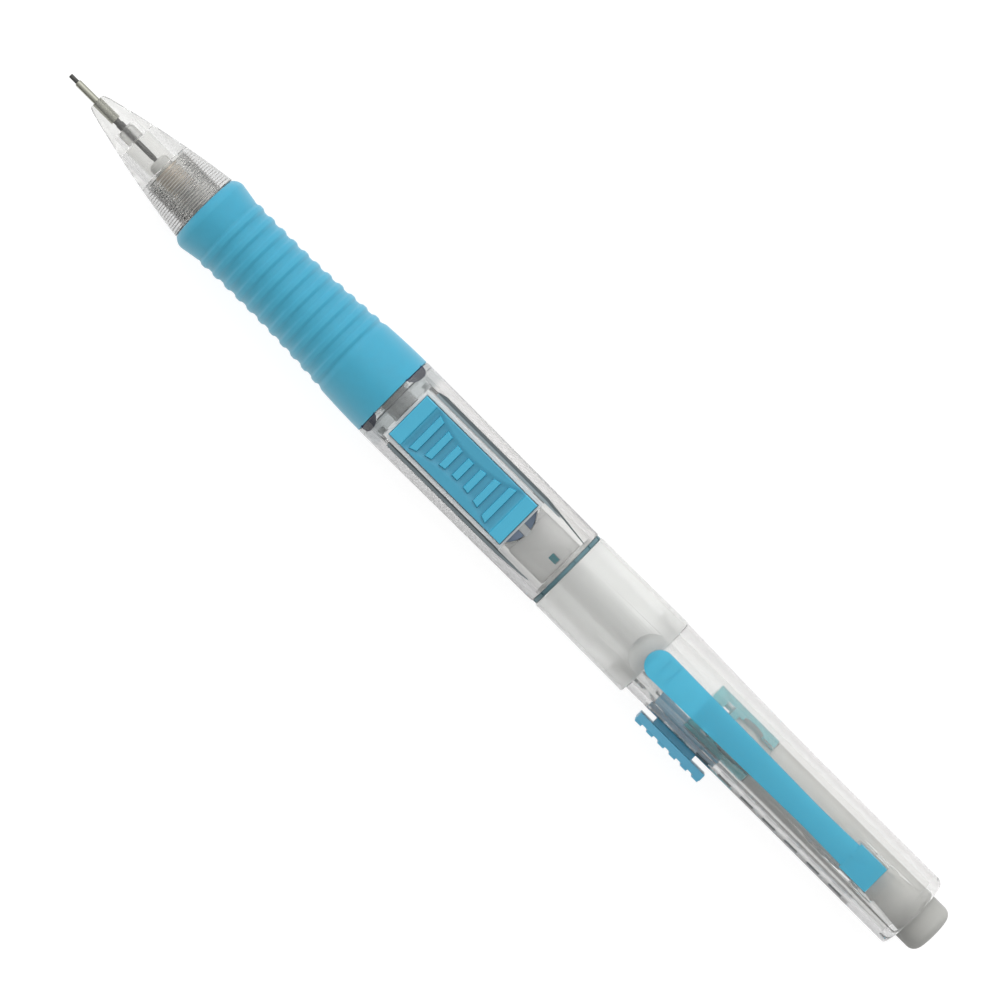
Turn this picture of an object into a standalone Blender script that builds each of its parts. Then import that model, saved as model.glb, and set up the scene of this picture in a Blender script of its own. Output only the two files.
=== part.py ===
"""Side-click mechanical pencil with a clear barrel, a ribbed grip and a slide-out eraser.

Run with: blender --background --python part.py

The origin is the centre of the flat writing tip. +X runs along the barrel to the eraser, +Z is the
side with the button and the pocket clip, and the eraser's slide knob is on the -Y side. Dimensions are
in millimetres and are scaled to metres as each mesh is made.
"""

import math

import bmesh
import bpy
from mathutils import Matrix, Vector

MM = 0.001
FULL_TURN = 2 * math.pi
MERGE_DISTANCE = 1e-7
SHARP_ANGLE = math.radians(35)
BARREL_SEGMENTS = 24
FINE_SEGMENTS = 16
LEAD_SEGMENTS = 12

# Overall
LENGTH = 146.0
CLEARANCE = 0.1
OVERLAP = 0.2
FLUSH_STEP = 0.02

# Lead and its guide
LEAD_RADIUS = 0.25
LEAD_LENGTH = 60.0
LEAD_BORE_RADIUS = 0.31
SLEEVE_FRONT = 1.2
SLEEVE_REAR = 7.9
SLEEVE_RADIUS = 0.45
SLEEVE_CHAMFER = 0.12
RETAINER_FRONT = 9.3
RETAINER_REAR = 11.3
RETAINER_RADIUS = 1.1

# Nose cone
CONE_FRONT = 4.5
CONE_SHOULDER = 5.3
CONE_REAR = 22.6
CONE_TIP_RADIUS = 1.07
CONE_SHOULDER_RADIUS = 1.37
CONE_REAR_RADIUS = 4.8
CONE_BULGE = 0.33
CONE_STEPS = 7
SLEEVE_BORE_RADIUS = 0.52
RETAINER_POCKET_RADIUS = 1.2
CHUCK_CAVITY_FRONT = 11.4
CHUCK_CAVITY_RADIUS = 1.9
SOCKET_FRONT = 16.0
SOCKET_RADIUS = 3.15

# Chuck, clutch ring and spring
CHUCK_FRONT = 14.8
CHUCK_HEAD_RADIUS = 1.4
CHUCK_HEAD_REAR = 16.2
CHUCK_TAPER_REAR = 17.6
CHUCK_STEM_RADIUS = 0.95
CHUCK_REAR = 35.0
CHUCK_SLITS = 3
CHUCK_SLIT_WIDTH = 0.24
CHUCK_SLIT_REAR = 22.5
RING_FRONT = 16.3
RING_REAR = 19.3
RING_RADIUS = 1.7
RING_MOUTH_RADIUS = 1.55
RING_BORE_RADIUS = 1.1
SPRING_FRONT = 20.3
SPRING_REAR = 31.0
SPRING_RADIUS = 1.5
SPRING_WIRE_RADIUS = 0.18
SPRING_TURNS = 8
SPRING_STEPS = 10

# Front barrel
SPIGOT_FRONT = 16.35
SPIGOT_RADIUS = 3.05
CORE_FRONT = 22.7
CORE_RADIUS = 4.0
BODY_FRONT = 54.7
BODY_REAR = 83.7
BARREL_RADIUS = 5.8
BODY_EDGE = 0.15
LIP_REAR = 84.28
LIP_BORE_RADIUS = 5.38
RING_CHAMBER_RADIUS = 2.2
SPRING_SEAT_FRONT = 19.6
SPRING_SEAT_REAR = 20.0
SPRING_SEAT_RADIUS = 1.15
TANK_BORE_RADIUS = 2.3
CHAMBER_FRONT = 56.0
CHAMBER_RADIUS = 4.7
BUTTON_SLOT_FRONT = 57.0
BUTTON_SLOT_REAR = 76.6
BUTTON_SLOT_HALF_WIDTH = 3.9
SLOT_SCOOP_CENTRE = 73.7
SLOT_SCOOP_RADIUS = 4.0
SLOT_SCOOP_BOTTOM = 2.7
SLOT_BOTTOM = 2.0

# Grip sleeve
GRIP_FRONT = 22.75
GRIP_REAR = 54.55
GRIP_BORE_RADIUS = 4.08
GRIP_FRONT_RADIUS = 4.8
GRIP_SHOULDER = 24.0
GRIP_SHOULDER_RADIUS = 5.33
GRIP_WAIST = 32.0
GRIP_WAIST_RADIUS = 4.94
GRIP_FRONT_RISE = 0.24
GRIP_REAR_RISE = 0.82
GRIP_REAR_BIAS = 1.25
RIDGE_COUNT = 11
RIDGE_FIRST = 27.46
RIDGE_PITCH = 1.904
RIDGE_HEIGHT = 0.24
RIDGE_TOP_HALF_WIDTH = 0.38
RIDGE_BASE_HALF_WIDTH = 0.6

# Lead tank and the leads in it
TANK_FRONT = 31.2
TANK_NECK_REAR = 35.1
TANK_REAR = 96.6
TANK_RADIUS = 1.9
TANK_NECK_BORE = 1.02
TANK_INNER_RADIUS = 1.45
SPARE_COUNT = 3
SPARE_FRONT = 36.0
SPARE_OFFSET = 1.08
SPARE_FIRST_ANGLE = math.radians(210)
SPARE_ANGLE_STEP = math.radians(60)

# Cam slider, which turns the button's push into the chuck's feed
SLIDER_FRONT = 60.0
SLIDER_COLLAR_REAR = 61.5
SLIDER_RAIL_REAR = 77.5
SLIDER_REAR = 82.9
SLIDER_HALF_WIDTH = 3.1
SLIDER_HALF_HEIGHT = 2.3
SLIDER_BORE_RADIUS = 1.97
RAIL_TOP = 1.2
RAMP_FRONTS = (62.5, 70.0)
RAMP_DEPTH = 2.4
RAMP_NOTCH_LENGTH = 4.4
WINDOW_FRONT = 81.4
WINDOW_REAR = 82.5
WINDOW_HALF_WIDTH = 0.42

# Button
TRAY_FRONT = 57.15
TRAY_REAR = 76.5
TRAY_HALF_WIDTH = 3.8
TRAY_BOTTOM = 3.7
TRAY_FLOOR = 4.5
TRAY_RIM = 5.4
PRONG_INNER = 2.1
PRONG_OUTER = 3.0
PRONG_TIP = 0.2
PRONG_REACH = 2.0
TONGUE_TOP = 4.15
SKIRT_BOTTOM = 2.2
SKIRT_THICKNESS = 0.35
EAR_FRONT = 56.3
EAR_INNER = 3.1
EAR_TOP = 2.6
TONGUE_REAR = 79.0
TONGUE_HALF_WIDTH = 0.5
PAD_FRONT = 57.6
PAD_REAR = 76.15
PAD_HALF_WIDTH = 3.25
PAD_BOTTOM = 4.58
PAD_GAP = 0.07
PAD_TOP = 6.3
PAD_EDGE = 0.25
RIB_COUNT = 7
RIB_FIRST = 60.9
RIB_PITCH = 1.96
RIB_WIDTH = 0.93
RIB_END_HALF_LENGTH = 2.53
RIB_MIDDLE_HALF_LENGTH = 1.4
RIB_VALLEY_DEPTH = 0.5

# Joint ring and mid barrel
JOINT_RING_FRONT = 83.78
JOINT_RING_REAR = 84.27
JOINT_RING_RADIUS = 5.3
JOINT_RING_BORE = 4.72
MID_FRONT = 84.35
MID_REAR = 98.9
MID_SPIGOT_FRONT = 81.2
MID_SPIGOT_RADIUS = 4.6
MID_BORE_RADIUS = 4.0
MID_SOCKET_FRONT = 95.9
MID_SOCKET_RADIUS = 4.9
SCOOP_FRONT = 95.7
SCOOP_HALF_WIDTH = 2.8
SCOOP_FLOOR = 5.08

# Rear tube
REAR_SPIGOT_FRONT = 96.2
REAR_SPIGOT_RADIUS = 4.8
REAR_FRONT = 98.98
REAR_REAR = 142.6
REAR_FRONT_RADIUS = 5.69
REAR_TAPER_REAR = 125.0
REAR_RADIUS = 5.24
REAR_CORNER_RADIUS = 0.9
REAR_CORNER_STEPS = 4
REAR_BORE_RADIUS = 4.05
REAR_BORE_REAR = 141.2
REAR_MOUTH_RADIUS = 3.37
REAR_FLAT = 4.83
REAR_TOP_FLAT_FRONT = 4.95
REAR_TOP_FLAT_REAR = 4.45
CLIP_SEAT = (133.9, 137.5)
CLIP_SEAT_HALF_WIDTH = 2.5
CLIP_SEAT_TOP = 5.3
SLIDE_SLOT_FRONT = 102.0
SLIDE_SLOT_REAR = 136.0
SLIDE_SLOT_HALF_WIDTH = 1.1
NOTCH_COUNT = 9
NOTCH_FIRST = 102.94
NOTCH_PITCH = 3.72
NOTCH_LENGTH = 2.1
NOTCH_DEPTH = 0.35
NOTCH_HALF_WIDTH = 1.6
STOPPER_FRONT = 96.9
STOPPER_REAR = 98.7
STOPPER_RADIUS = 3.95
STOPPER_WALL = 0.8

# Clip
CLIP_FRONT = 97.95
CLIP_REAR = 136.0
CLIP_ROOT_FRONT = 131.7
CLIP_FRONT_HALF_WIDTH = 1.9
CLIP_NECK = 125.4
CLIP_NECK_HALF_WIDTH = 1.5
CLIP_ROOT_NECK_HALF_WIDTH = 1.62
CLIP_ROOT_HALF_WIDTH = 1.85
CLIP_BOTTOM = 5.7
CLIP_TOP = 6.7
CLIP_ROOT_BOTTOM = 4.3
CLIP_ROOT_TOP = 6.8
CLIP_NOSE_STEPS = 8
CLIP_BUMP_X = 101.15
CLIP_BUMP_RADIUS = 0.9
CLIP_BUMP_BOTTOM = 5.0
CLIP_BUMP_HALF_WIDTH = 1.4
CLIP_PIVOT_Z = 5.0
CLIP_WINDOW_GAP = 0.2

# Eraser, its carrier and its slide
ERASER_RADIUS = 3.27
ERASER_SHANK_RADIUS = 2.9
ERASER_SHANK_FRONT = 110.6
ERASER_SHOULDER = 116.75
ERASER_FILLET = 1.2
ERASER_FILLET_STEPS = 5
CARRIER_FRONT = 107.0
CARRIER_FLOOR = 108.1
CARRIER_REAR = 116.6
CARRIER_RADIUS = 3.4
CARRIER_BORE_RADIUS = 3.0
CARRIER_FLAT = 3.2
CARRIER_FLAT_HALF_WIDTH = 1.5
CARRIER_WINDOW = (108.8, 110.0)
CARRIER_FINGER_SLOT_FRONT = 111.0
CARRIER_OPENING = (1.45, 2.65)
SLIDE_PLATE = (102.6, 113.1)
SLIDE_PLATE_DEPTH = (3.3, 3.62)
SLIDE_PLATE_HALF_WIDTH = 1.4
SLIDE_NECK = (104.3, 110.7)
SLIDE_NECK_HALF_WIDTH = 1.0
KNOB = (102.4, 113.1)
KNOB_INNER = 5.75
KNOB_OUTER = 6.7
KNOB_HALF_WIDTH = 2.2
KNOB_RIDGE_COUNT = 6
KNOB_RIDGE_PITCH = 1.9
KNOB_RIDGE_LENGTH = 1.0
KNOB_RIDGE_HEIGHT = 0.3

# Colour (red, green, blue, alpha), roughness and metallic value of each material
MATERIALS = {
    "graphite": ((0.06, 0.06, 0.065, 1.0), 0.45, 0.3),
    "steel": ((0.62, 0.61, 0.58, 1.0), 0.28, 1.0),
    "brass": ((0.66, 0.55, 0.4, 1.0), 0.3, 1.0),
    "clear_plastic": ((0.93, 0.94, 0.94, 0.3), 0.06, 0.0),
    "milky_plastic": ((0.88, 0.89, 0.89, 0.6), 0.25, 0.0),
    "white_plastic": ((0.86, 0.86, 0.84, 1.0), 0.35, 0.0),
    "clear_rubber": ((0.55, 0.55, 0.56, 0.8), 0.5, 0.0),
    "grip_rubber": ((0.08, 0.43, 0.67, 1.0), 0.6, 0.0),
    "blue_plastic": ((0.05, 0.36, 0.61, 1.0), 0.35, 0.0),
    "blue_tint_plastic": ((0.07, 0.42, 0.62, 0.8), 0.15, 0.0),
    "teal_tint_plastic": ((0.16, 0.52, 0.6, 0.7), 0.15, 0.0),
    "dark_teal_plastic": ((0.04, 0.17, 0.24, 1.0), 0.35, 0.0),
    "eraser_vinyl": ((0.62, 0.62, 0.6, 1.0), 0.75, 0.0),
}


def clear_scene():
    """Remove every object, so that the file holds only the pencil."""
    for obj in list(bpy.data.objects):
        bpy.data.objects.remove(obj, do_unlink=True)


def make_material(name):
    """Return the named Principled material."""
    colour, roughness, metallic = MATERIALS[name]
    material = bpy.data.materials.new(name)
    material.use_nodes = True
    material.diffuse_color = colour
    shader = material.node_tree.nodes["Principled BSDF"]
    shader.inputs["Base Color"].default_value = colour
    shader.inputs["Alpha"].default_value = colour[3]
    shader.inputs["Roughness"].default_value = roughness
    shader.inputs["Metallic"].default_value = metallic
    return material


def finished_object(name, mesh_data, parent):
    """Link a new object that holds a mesh or a curve."""
    obj = bpy.data.objects.new(name, mesh_data)
    bpy.context.collection.objects.link(obj)
    obj.parent = parent
    if parent is not None:
        obj.matrix_parent_inverse = Matrix.Translation(-parent.location)
    return obj


def mesh_from(name, shape):
    """Scale a closed bmesh from millimetres to metres and turn it into a smooth-shaded mesh."""
    bmesh.ops.recalc_face_normals(shape, faces=shape.faces)
    bmesh.ops.scale(shape, vec=(MM, MM, MM), verts=shape.verts)
    mesh = bpy.data.meshes.new(name)
    shape.to_mesh(mesh)
    shape.free()
    mesh.shade_smooth()
    mesh.set_sharp_from_angle(angle=SHARP_ANGLE)
    return mesh


def piece(name, shape, material_name, parent=None):
    """Make one named piece of the pencil."""
    obj = finished_object(name, mesh_from(name, shape), parent)
    obj.data.materials.append(make_material(material_name))
    return obj


def combine(target, label, shape, operation="DIFFERENCE"):
    """Cut a shape out of a piece, or join it on, with a hidden guide object."""
    guide = finished_object(f"{target.name}_{label}", mesh_from(label, shape), None)
    guide.hide_render = True
    guide.display_type = "WIRE"
    boolean = target.modifiers.new(label, "BOOLEAN")
    boolean.operation = operation
    boolean.solver = "EXACT"
    boolean.object = guide


def joint_origin(name, x=0.0, y=0.0, z=0.0):
    """Make an empty on a joint's axis, for the pieces that move on it."""
    empty = bpy.data.objects.new(name, None)
    empty.location = (x * MM, y * MM, z * MM)
    empty.empty_display_size = 3 * MM
    bpy.context.collection.objects.link(empty)
    return empty


def turned(profile, segments=BARREL_SEGMENTS, hollow=True):
    """Turn a profile of (x, radius) points about the X axis.

    A hollow profile is a closed loop. A solid one runs from the axis to the axis.
    """
    shape = bmesh.new()
    points = [shape.verts.new((x, 0.0, radius)) for x, radius in profile]
    edges = [shape.edges.new(pair) for pair in zip(points, points[1:])]
    if hollow:
        edges.append(shape.edges.new((points[-1], points[0])))
    bmesh.ops.spin(shape, geom=points + edges, axis=(1, 0, 0), cent=(0, 0, 0), angle=FULL_TURN,
                   steps=segments, use_merge=True, use_duplicate=False)
    bmesh.ops.remove_doubles(shape, verts=shape.verts, dist=MERGE_DISTANCE / MM)
    return shape


def tube(front, rear, outer, inner, segments=BARREL_SEGMENTS):
    """Return a plain tube along the X axis."""
    return turned([(front, inner), (front, outer), (rear, outer), (rear, inner)], segments)


def rod(front, rear, radius, segments=BARREL_SEGMENTS):
    """Return a plain solid rod along the X axis."""
    return turned([(front, 0.0), (front, radius), (rear, radius), (rear, 0.0)], segments, hollow=False)


def add_block(shape, x_range, y_range, z_range):
    """Add a box between three pairs of limits to a bmesh."""
    size = [high - low for low, high in (x_range, y_range, z_range)]
    centre = [(high + low) / 2 for low, high in (x_range, y_range, z_range)]
    matrix = Matrix.Translation(centre) @ Matrix.Diagonal((*size, 1.0))
    return bmesh.ops.create_cube(shape, size=1.0, matrix=matrix)["verts"]


def block(x_range, y_range, z_range):
    """Return a new box between three pairs of limits."""
    shape = bmesh.new()
    add_block(shape, x_range, y_range, z_range)
    return shape


def soften_edges(shape, width, segments=2):
    """Bevel every edge of a shape."""
    bmesh.ops.bevel(shape, geom=list(shape.edges), offset=width, segments=segments, profile=0.5,
                    affect="EDGES", clamp_overlap=True)


def add_prism(shape, outline, direction):
    """Extrude a closed outline of 3-D points along a direction."""
    face = shape.faces.new([shape.verts.new(point) for point in outline])
    extruded = bmesh.ops.extrude_face_region(shape, geom=[face], use_keep_orig=True)
    moved = [item for item in extruded["geom"] if isinstance(item, bmesh.types.BMVert)]
    bmesh.ops.translate(shape, verts=moved, vec=direction)


def prism(outline, direction):
    """Return a new prism of an outline."""
    shape = bmesh.new()
    add_prism(shape, outline, direction)
    return shape


def mirrored(limits):
    """Return a pair of limits on the other side of zero."""
    low, high = limits
    return (-high, -low)


def cone_radius(x):
    """Return the nose cone's outer radius, which swells between its shoulder and its rear."""
    along = (x - CONE_SHOULDER) / (CONE_REAR - CONE_SHOULDER)
    straight = CONE_SHOULDER_RADIUS + (CONE_REAR_RADIUS - CONE_SHOULDER_RADIUS) * along
    return straight + 4 * CONE_BULGE * along * (1 - along)


def make_lead(parent):
    """The lead that is being written with."""
    piece("lead", rod(0.0, LEAD_LENGTH, LEAD_RADIUS, LEAD_SEGMENTS), "graphite", parent)


def make_lead_sleeve(parent):
    """The metal guide tube at the tip."""
    profile = [
        (SLEEVE_FRONT, LEAD_BORE_RADIUS),
        (SLEEVE_FRONT, SLEEVE_RADIUS - SLEEVE_CHAMFER / 2),
        (SLEEVE_FRONT + SLEEVE_CHAMFER, SLEEVE_RADIUS),
        (SLEEVE_REAR, SLEEVE_RADIUS),
        (SLEEVE_REAR, LEAD_BORE_RADIUS),
    ]
    piece("lead_sleeve", turned(profile, FINE_SEGMENTS), "steel", parent)


def make_lead_retainer(parent):
    """The soft ring that holds the lead while the chuck goes back."""
    ring = tube(RETAINER_FRONT, RETAINER_REAR, RETAINER_RADIUS, LEAD_BORE_RADIUS, FINE_SEGMENTS)
    piece("lead_retainer", ring, "clear_rubber", parent)


def make_nose_cone(parent):
    """The clear cone that screws on the front barrel."""
    length = CONE_REAR - CONE_SHOULDER
    stations = [CONE_SHOULDER + length * step / CONE_STEPS for step in range(CONE_STEPS + 1)]
    outside = [(CONE_FRONT, CONE_TIP_RADIUS)] + [(x, cone_radius(x)) for x in stations]
    inside = [
        (CONE_REAR, SOCKET_RADIUS),
        (SOCKET_FRONT, SOCKET_RADIUS),
        (SOCKET_FRONT, CHUCK_CAVITY_RADIUS),
        (CHUCK_CAVITY_FRONT, CHUCK_CAVITY_RADIUS),
        (CHUCK_CAVITY_FRONT, RETAINER_POCKET_RADIUS),
        (RETAINER_FRONT - CLEARANCE, RETAINER_POCKET_RADIUS),
        (RETAINER_FRONT - CLEARANCE, SLEEVE_BORE_RADIUS),
        (CONE_FRONT, SLEEVE_BORE_RADIUS),
    ]
    piece("nose_cone", turned(outside + inside), "clear_plastic", parent)


def make_chuck(parent):
    """The slit collet that grips the lead."""
    profile = [
        (CHUCK_FRONT, LEAD_BORE_RADIUS),
        (CHUCK_FRONT, CHUCK_HEAD_RADIUS * 0.75),
        (CHUCK_FRONT + 0.4, CHUCK_HEAD_RADIUS),
        (CHUCK_HEAD_REAR, CHUCK_HEAD_RADIUS),
        (CHUCK_TAPER_REAR, CHUCK_STEM_RADIUS),
        (CHUCK_REAR, CHUCK_STEM_RADIUS),
        (CHUCK_REAR, LEAD_BORE_RADIUS),
    ]
    chuck = piece("chuck", turned(profile, FINE_SEGMENTS), "white_plastic", parent)
    slits = bmesh.new()
    half_width = CHUCK_SLIT_WIDTH / 2
    inner = LEAD_BORE_RADIUS - CLEARANCE
    for number in range(CHUCK_SLITS):
        verts = add_block(slits, (CHUCK_FRONT - 1, CHUCK_SLIT_REAR), (-half_width, half_width),
                          (inner, CHUCK_HEAD_RADIUS + 1))
        turn = Matrix.Rotation(FULL_TURN * number / CHUCK_SLITS, 3, "X")
        bmesh.ops.rotate(slits, verts=verts, matrix=turn, cent=(0, 0, 0))
    combine(chuck, "slits", slits)


def make_clutch_ring(parent):
    """The brass ring that closes the chuck's jaws."""
    profile = [
        (RING_FRONT, RING_MOUTH_RADIUS),
        (RING_FRONT, RING_RADIUS),
        (RING_REAR, RING_RADIUS),
        (RING_REAR, RING_BORE_RADIUS),
        ((RING_FRONT + RING_REAR) / 2, RING_BORE_RADIUS),
    ]
    piece("clutch_ring", turned(profile, FINE_SEGMENTS), "brass", parent)


def make_chuck_spring(parent):
    """The coil spring that pushes the lead tank and the chuck back."""
    curve = bpy.data.curves.new("chuck_spring", "CURVE")
    curve.dimensions = "3D"
    curve.bevel_depth = SPRING_WIRE_RADIUS * MM
    curve.bevel_resolution = 1
    curve.use_fill_caps = True
    path = curve.splines.new("POLY")
    steps = SPRING_TURNS * SPRING_STEPS
    path.points.add(steps)
    for step, point in enumerate(path.points):
        angle = FULL_TURN * step / SPRING_STEPS
        along = SPRING_FRONT + (SPRING_REAR - SPRING_FRONT) * step / steps
        position = Vector((along, SPRING_RADIUS * math.cos(angle), SPRING_RADIUS * math.sin(angle))) * MM
        point.co = (*position, 1.0)
    finished_object("chuck_spring", curve, parent)
    curve.materials.append(make_material("steel"))


def make_front_barrel(parent):
    """The clear front barrel: spigot, core under the grip, slotted body and a lip over the joint ring."""
    profile = [
        (SPIGOT_FRONT, RING_CHAMBER_RADIUS),
        (SPIGOT_FRONT, SPIGOT_RADIUS),
        (CORE_FRONT, SPIGOT_RADIUS),
        (CORE_FRONT, CORE_RADIUS),
        (BODY_FRONT, CORE_RADIUS),
        (BODY_FRONT, BARREL_RADIUS - BODY_EDGE),
        (BODY_FRONT + BODY_EDGE, BARREL_RADIUS),
        (LIP_REAR, BARREL_RADIUS),
        (LIP_REAR, LIP_BORE_RADIUS),
        (BODY_REAR, LIP_BORE_RADIUS),
        (BODY_REAR, CHAMBER_RADIUS),
        (CHAMBER_FRONT, CHAMBER_RADIUS),
        (CHAMBER_FRONT, TANK_BORE_RADIUS),
        (SPRING_SEAT_REAR, TANK_BORE_RADIUS),
        (SPRING_SEAT_REAR, SPRING_SEAT_RADIUS),
        (SPRING_SEAT_FRONT, SPRING_SEAT_RADIUS),
        (SPRING_SEAT_FRONT, RING_CHAMBER_RADIUS),
    ]
    barrel = piece("front_barrel", turned(profile), "clear_plastic", parent)
    above = BARREL_RADIUS + 1
    half_width = BUTTON_SLOT_HALF_WIDTH
    slot = block((BUTTON_SLOT_FRONT, BUTTON_SLOT_REAR), (-half_width, half_width), (SLOT_BOTTOM, above))
    combine(barrel, "button_slot", slot)
    scoop = bmesh.new()
    place = Matrix.Translation((SLOT_SCOOP_CENTRE, 0.0, (above + SLOT_SCOOP_BOTTOM) / 2))
    bmesh.ops.create_cone(scoop, cap_ends=True, segments=BARREL_SEGMENTS, radius1=SLOT_SCOOP_RADIUS,
                          radius2=SLOT_SCOOP_RADIUS, depth=above - SLOT_SCOOP_BOTTOM, matrix=place)
    combine(barrel, "slot_scoop", scoop)


def grip_envelope(x):
    """Return the radius that the grip's ridges reach: a waist that widens towards both ends."""
    if x < GRIP_WAIST:
        along = (GRIP_WAIST - x) / (GRIP_WAIST - GRIP_SHOULDER)
        return GRIP_WAIST_RADIUS + GRIP_FRONT_RISE * along ** 2
    along = ((x - GRIP_WAIST) / (GRIP_REAR - GRIP_WAIST)) ** GRIP_REAR_BIAS
    return GRIP_WAIST_RADIUS + GRIP_REAR_RISE * (1 - math.cos(math.pi * along)) / 2


def make_grip_sleeve(parent):
    """The ribbed rubber grip."""
    outside = [(GRIP_FRONT, GRIP_FRONT_RADIUS), (GRIP_SHOULDER, GRIP_SHOULDER_RADIUS)]
    for number in range(RIDGE_COUNT):
        centre = RIDGE_FIRST + RIDGE_PITCH * number
        for offset, drop in (
            (-RIDGE_BASE_HALF_WIDTH, RIDGE_HEIGHT),
            (-RIDGE_TOP_HALF_WIDTH, 0.0),
            (RIDGE_TOP_HALF_WIDTH, 0.0),
            (RIDGE_BASE_HALF_WIDTH, RIDGE_HEIGHT),
        ):
            outside.append((centre + offset, grip_envelope(centre + offset) - drop))
    last_ridge = outside[-1][0]
    smooth_steps = 3
    for step in range(1, smooth_steps + 1):
        x = last_ridge + (GRIP_REAR - last_ridge) * step / smooth_steps
        outside.append((x, grip_envelope(x)))
    inside = [(GRIP_REAR, GRIP_BORE_RADIUS), (GRIP_FRONT, GRIP_BORE_RADIUS)]
    piece("grip_sleeve", turned(outside + inside), "grip_rubber", parent)


def make_lead_tank(parent):
    """The tube that holds spare leads and drives the chuck."""
    profile = [
        (TANK_FRONT, TANK_NECK_BORE),
        (TANK_FRONT, TANK_RADIUS),
        (TANK_REAR, TANK_RADIUS),
        (TANK_REAR, TANK_INNER_RADIUS),
        (TANK_NECK_REAR, TANK_INNER_RADIUS),
        (TANK_NECK_REAR, TANK_NECK_BORE),
    ]
    piece("lead_tank", turned(profile), "milky_plastic", parent)


def make_spare_leads(parent):
    """The spare leads, lying against the tank's wall."""
    for number in range(SPARE_COUNT):
        angle = SPARE_FIRST_ANGLE + SPARE_ANGLE_STEP * number
        shape = rod(SPARE_FRONT, SPARE_FRONT + LEAD_LENGTH, LEAD_RADIUS, LEAD_SEGMENTS)
        offset = (0.0, SPARE_OFFSET * math.cos(angle), SPARE_OFFSET * math.sin(angle))
        bmesh.ops.translate(shape, verts=shape.verts, vec=offset)
        piece(f"spare_lead_{number + 1}", shape, "graphite", parent)


def make_cam_slider(parent):
    """The carriage fixed round the tank, with two ramps on each rail for the button's prongs."""
    half_width = SLIDER_HALF_WIDTH
    half_height = SLIDER_HALF_HEIGHT
    body = block((SLIDER_FRONT, SLIDER_REAR), (-half_width, half_width), (-half_height, half_height))
    slider = piece("cam_slider", body, "milky_plastic", parent)
    combine(slider, "bore", rod(SLIDER_FRONT - 1, SLIDER_REAR + 1, SLIDER_BORE_RADIUS))
    rails = (SLIDER_COLLAR_REAR, SLIDER_RAIL_REAR)
    beyond = half_width + 1
    combine(slider, "rail_tops", block(rails, (-beyond, beyond), (RAIL_TOP, half_height + 1)))
    ramps = bmesh.new()
    for front in RAMP_FRONTS:
        outline = [
            (front, -beyond, RAIL_TOP),
            (front + RAMP_DEPTH, -beyond, RAIL_TOP - RAMP_DEPTH),
            (front + RAMP_NOTCH_LENGTH, -beyond, RAIL_TOP - RAMP_DEPTH),
            (front + RAMP_NOTCH_LENGTH, -beyond, RAIL_TOP + 1),
            (front, -beyond, RAIL_TOP + 1),
        ]
        add_prism(ramps, outline, (0.0, 2 * beyond, 0.0))
    combine(slider, "ramps", ramps)
    window = block((WINDOW_FRONT, WINDOW_REAR), (-WINDOW_HALF_WIDTH, WINDOW_HALF_WIDTH),
                   (0.0, half_height + 1))
    combine(slider, "window", window)


def make_button_carrier(parent):
    """The clear tray under the thumb pad, with skirts, ears, a tongue and the prongs for the ramps."""
    half_width = TRAY_HALF_WIDTH
    body = block((TRAY_FRONT, TRAY_REAR), (-half_width, half_width), (TRAY_BOTTOM, TRAY_RIM))
    tray = piece("button_carrier", body, "clear_plastic", parent)
    pocket_half_width = PAD_HALF_WIDTH + PAD_GAP
    combine(tray, "pocket", block((PAD_FRONT - PAD_GAP, PAD_REAR + PAD_GAP),
                                  (-pocket_half_width, pocket_half_width), (TRAY_FLOOR, TRAY_RIM + 1)))
    skirts = bmesh.new()
    ears = bmesh.new()
    for side in 1, -1:
        skirt = sorted((side * (half_width - SKIRT_THICKNESS), side * (half_width - FLUSH_STEP)))
        add_block(skirts, (TRAY_FRONT + FLUSH_STEP, TRAY_REAR - FLUSH_STEP), skirt,
                  (SKIRT_BOTTOM, TRAY_BOTTOM + OVERLAP))
        ear = sorted((side * EAR_INNER, side * (half_width - 2 * FLUSH_STEP)))
        add_block(ears, (EAR_FRONT, TRAY_FRONT + OVERLAP), ear, (SKIRT_BOTTOM + FLUSH_STEP, EAR_TOP))
    combine(tray, "skirts", skirts, "UNION")
    combine(tray, "ears", ears, "UNION")
    tongue = block((TRAY_REAR - OVERLAP, TONGUE_REAR), (-TONGUE_HALF_WIDTH, TONGUE_HALF_WIDTH),
                   (TRAY_BOTTOM + FLUSH_STEP, TONGUE_TOP))
    combine(tray, "tongue", tongue, "UNION")
    prongs = bmesh.new()
    ramp_gap = CLEARANCE * math.sqrt(2)
    for front in RAMP_FRONTS:
        face = front + ramp_gap
        for y in (PRONG_INNER, -PRONG_OUTER):
            outline = [
                (face, y, RAIL_TOP),
                (face + RAIL_TOP - PRONG_TIP, y, PRONG_TIP),
                (face + PRONG_REACH, y, PRONG_TIP),
                (face + PRONG_REACH, y, TRAY_BOTTOM + OVERLAP),
                (face, y, TRAY_BOTTOM + OVERLAP),
            ]
            add_prism(prongs, outline, (0.0, PRONG_OUTER - PRONG_INNER, 0.0))
    combine(tray, "prongs", prongs, "UNION")


def rib_half_length(x):
    """Return half the length of the thumb ribs at x: short in the middle, long at both ends."""
    half_span = RIB_PITCH * (RIB_COUNT - 1) / 2
    off_middle = (x - RIB_FIRST - half_span) / half_span
    return RIB_MIDDLE_HALF_LENGTH + (RIB_END_HALF_LENGTH - RIB_MIDDLE_HALF_LENGTH) * off_middle ** 2


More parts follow.
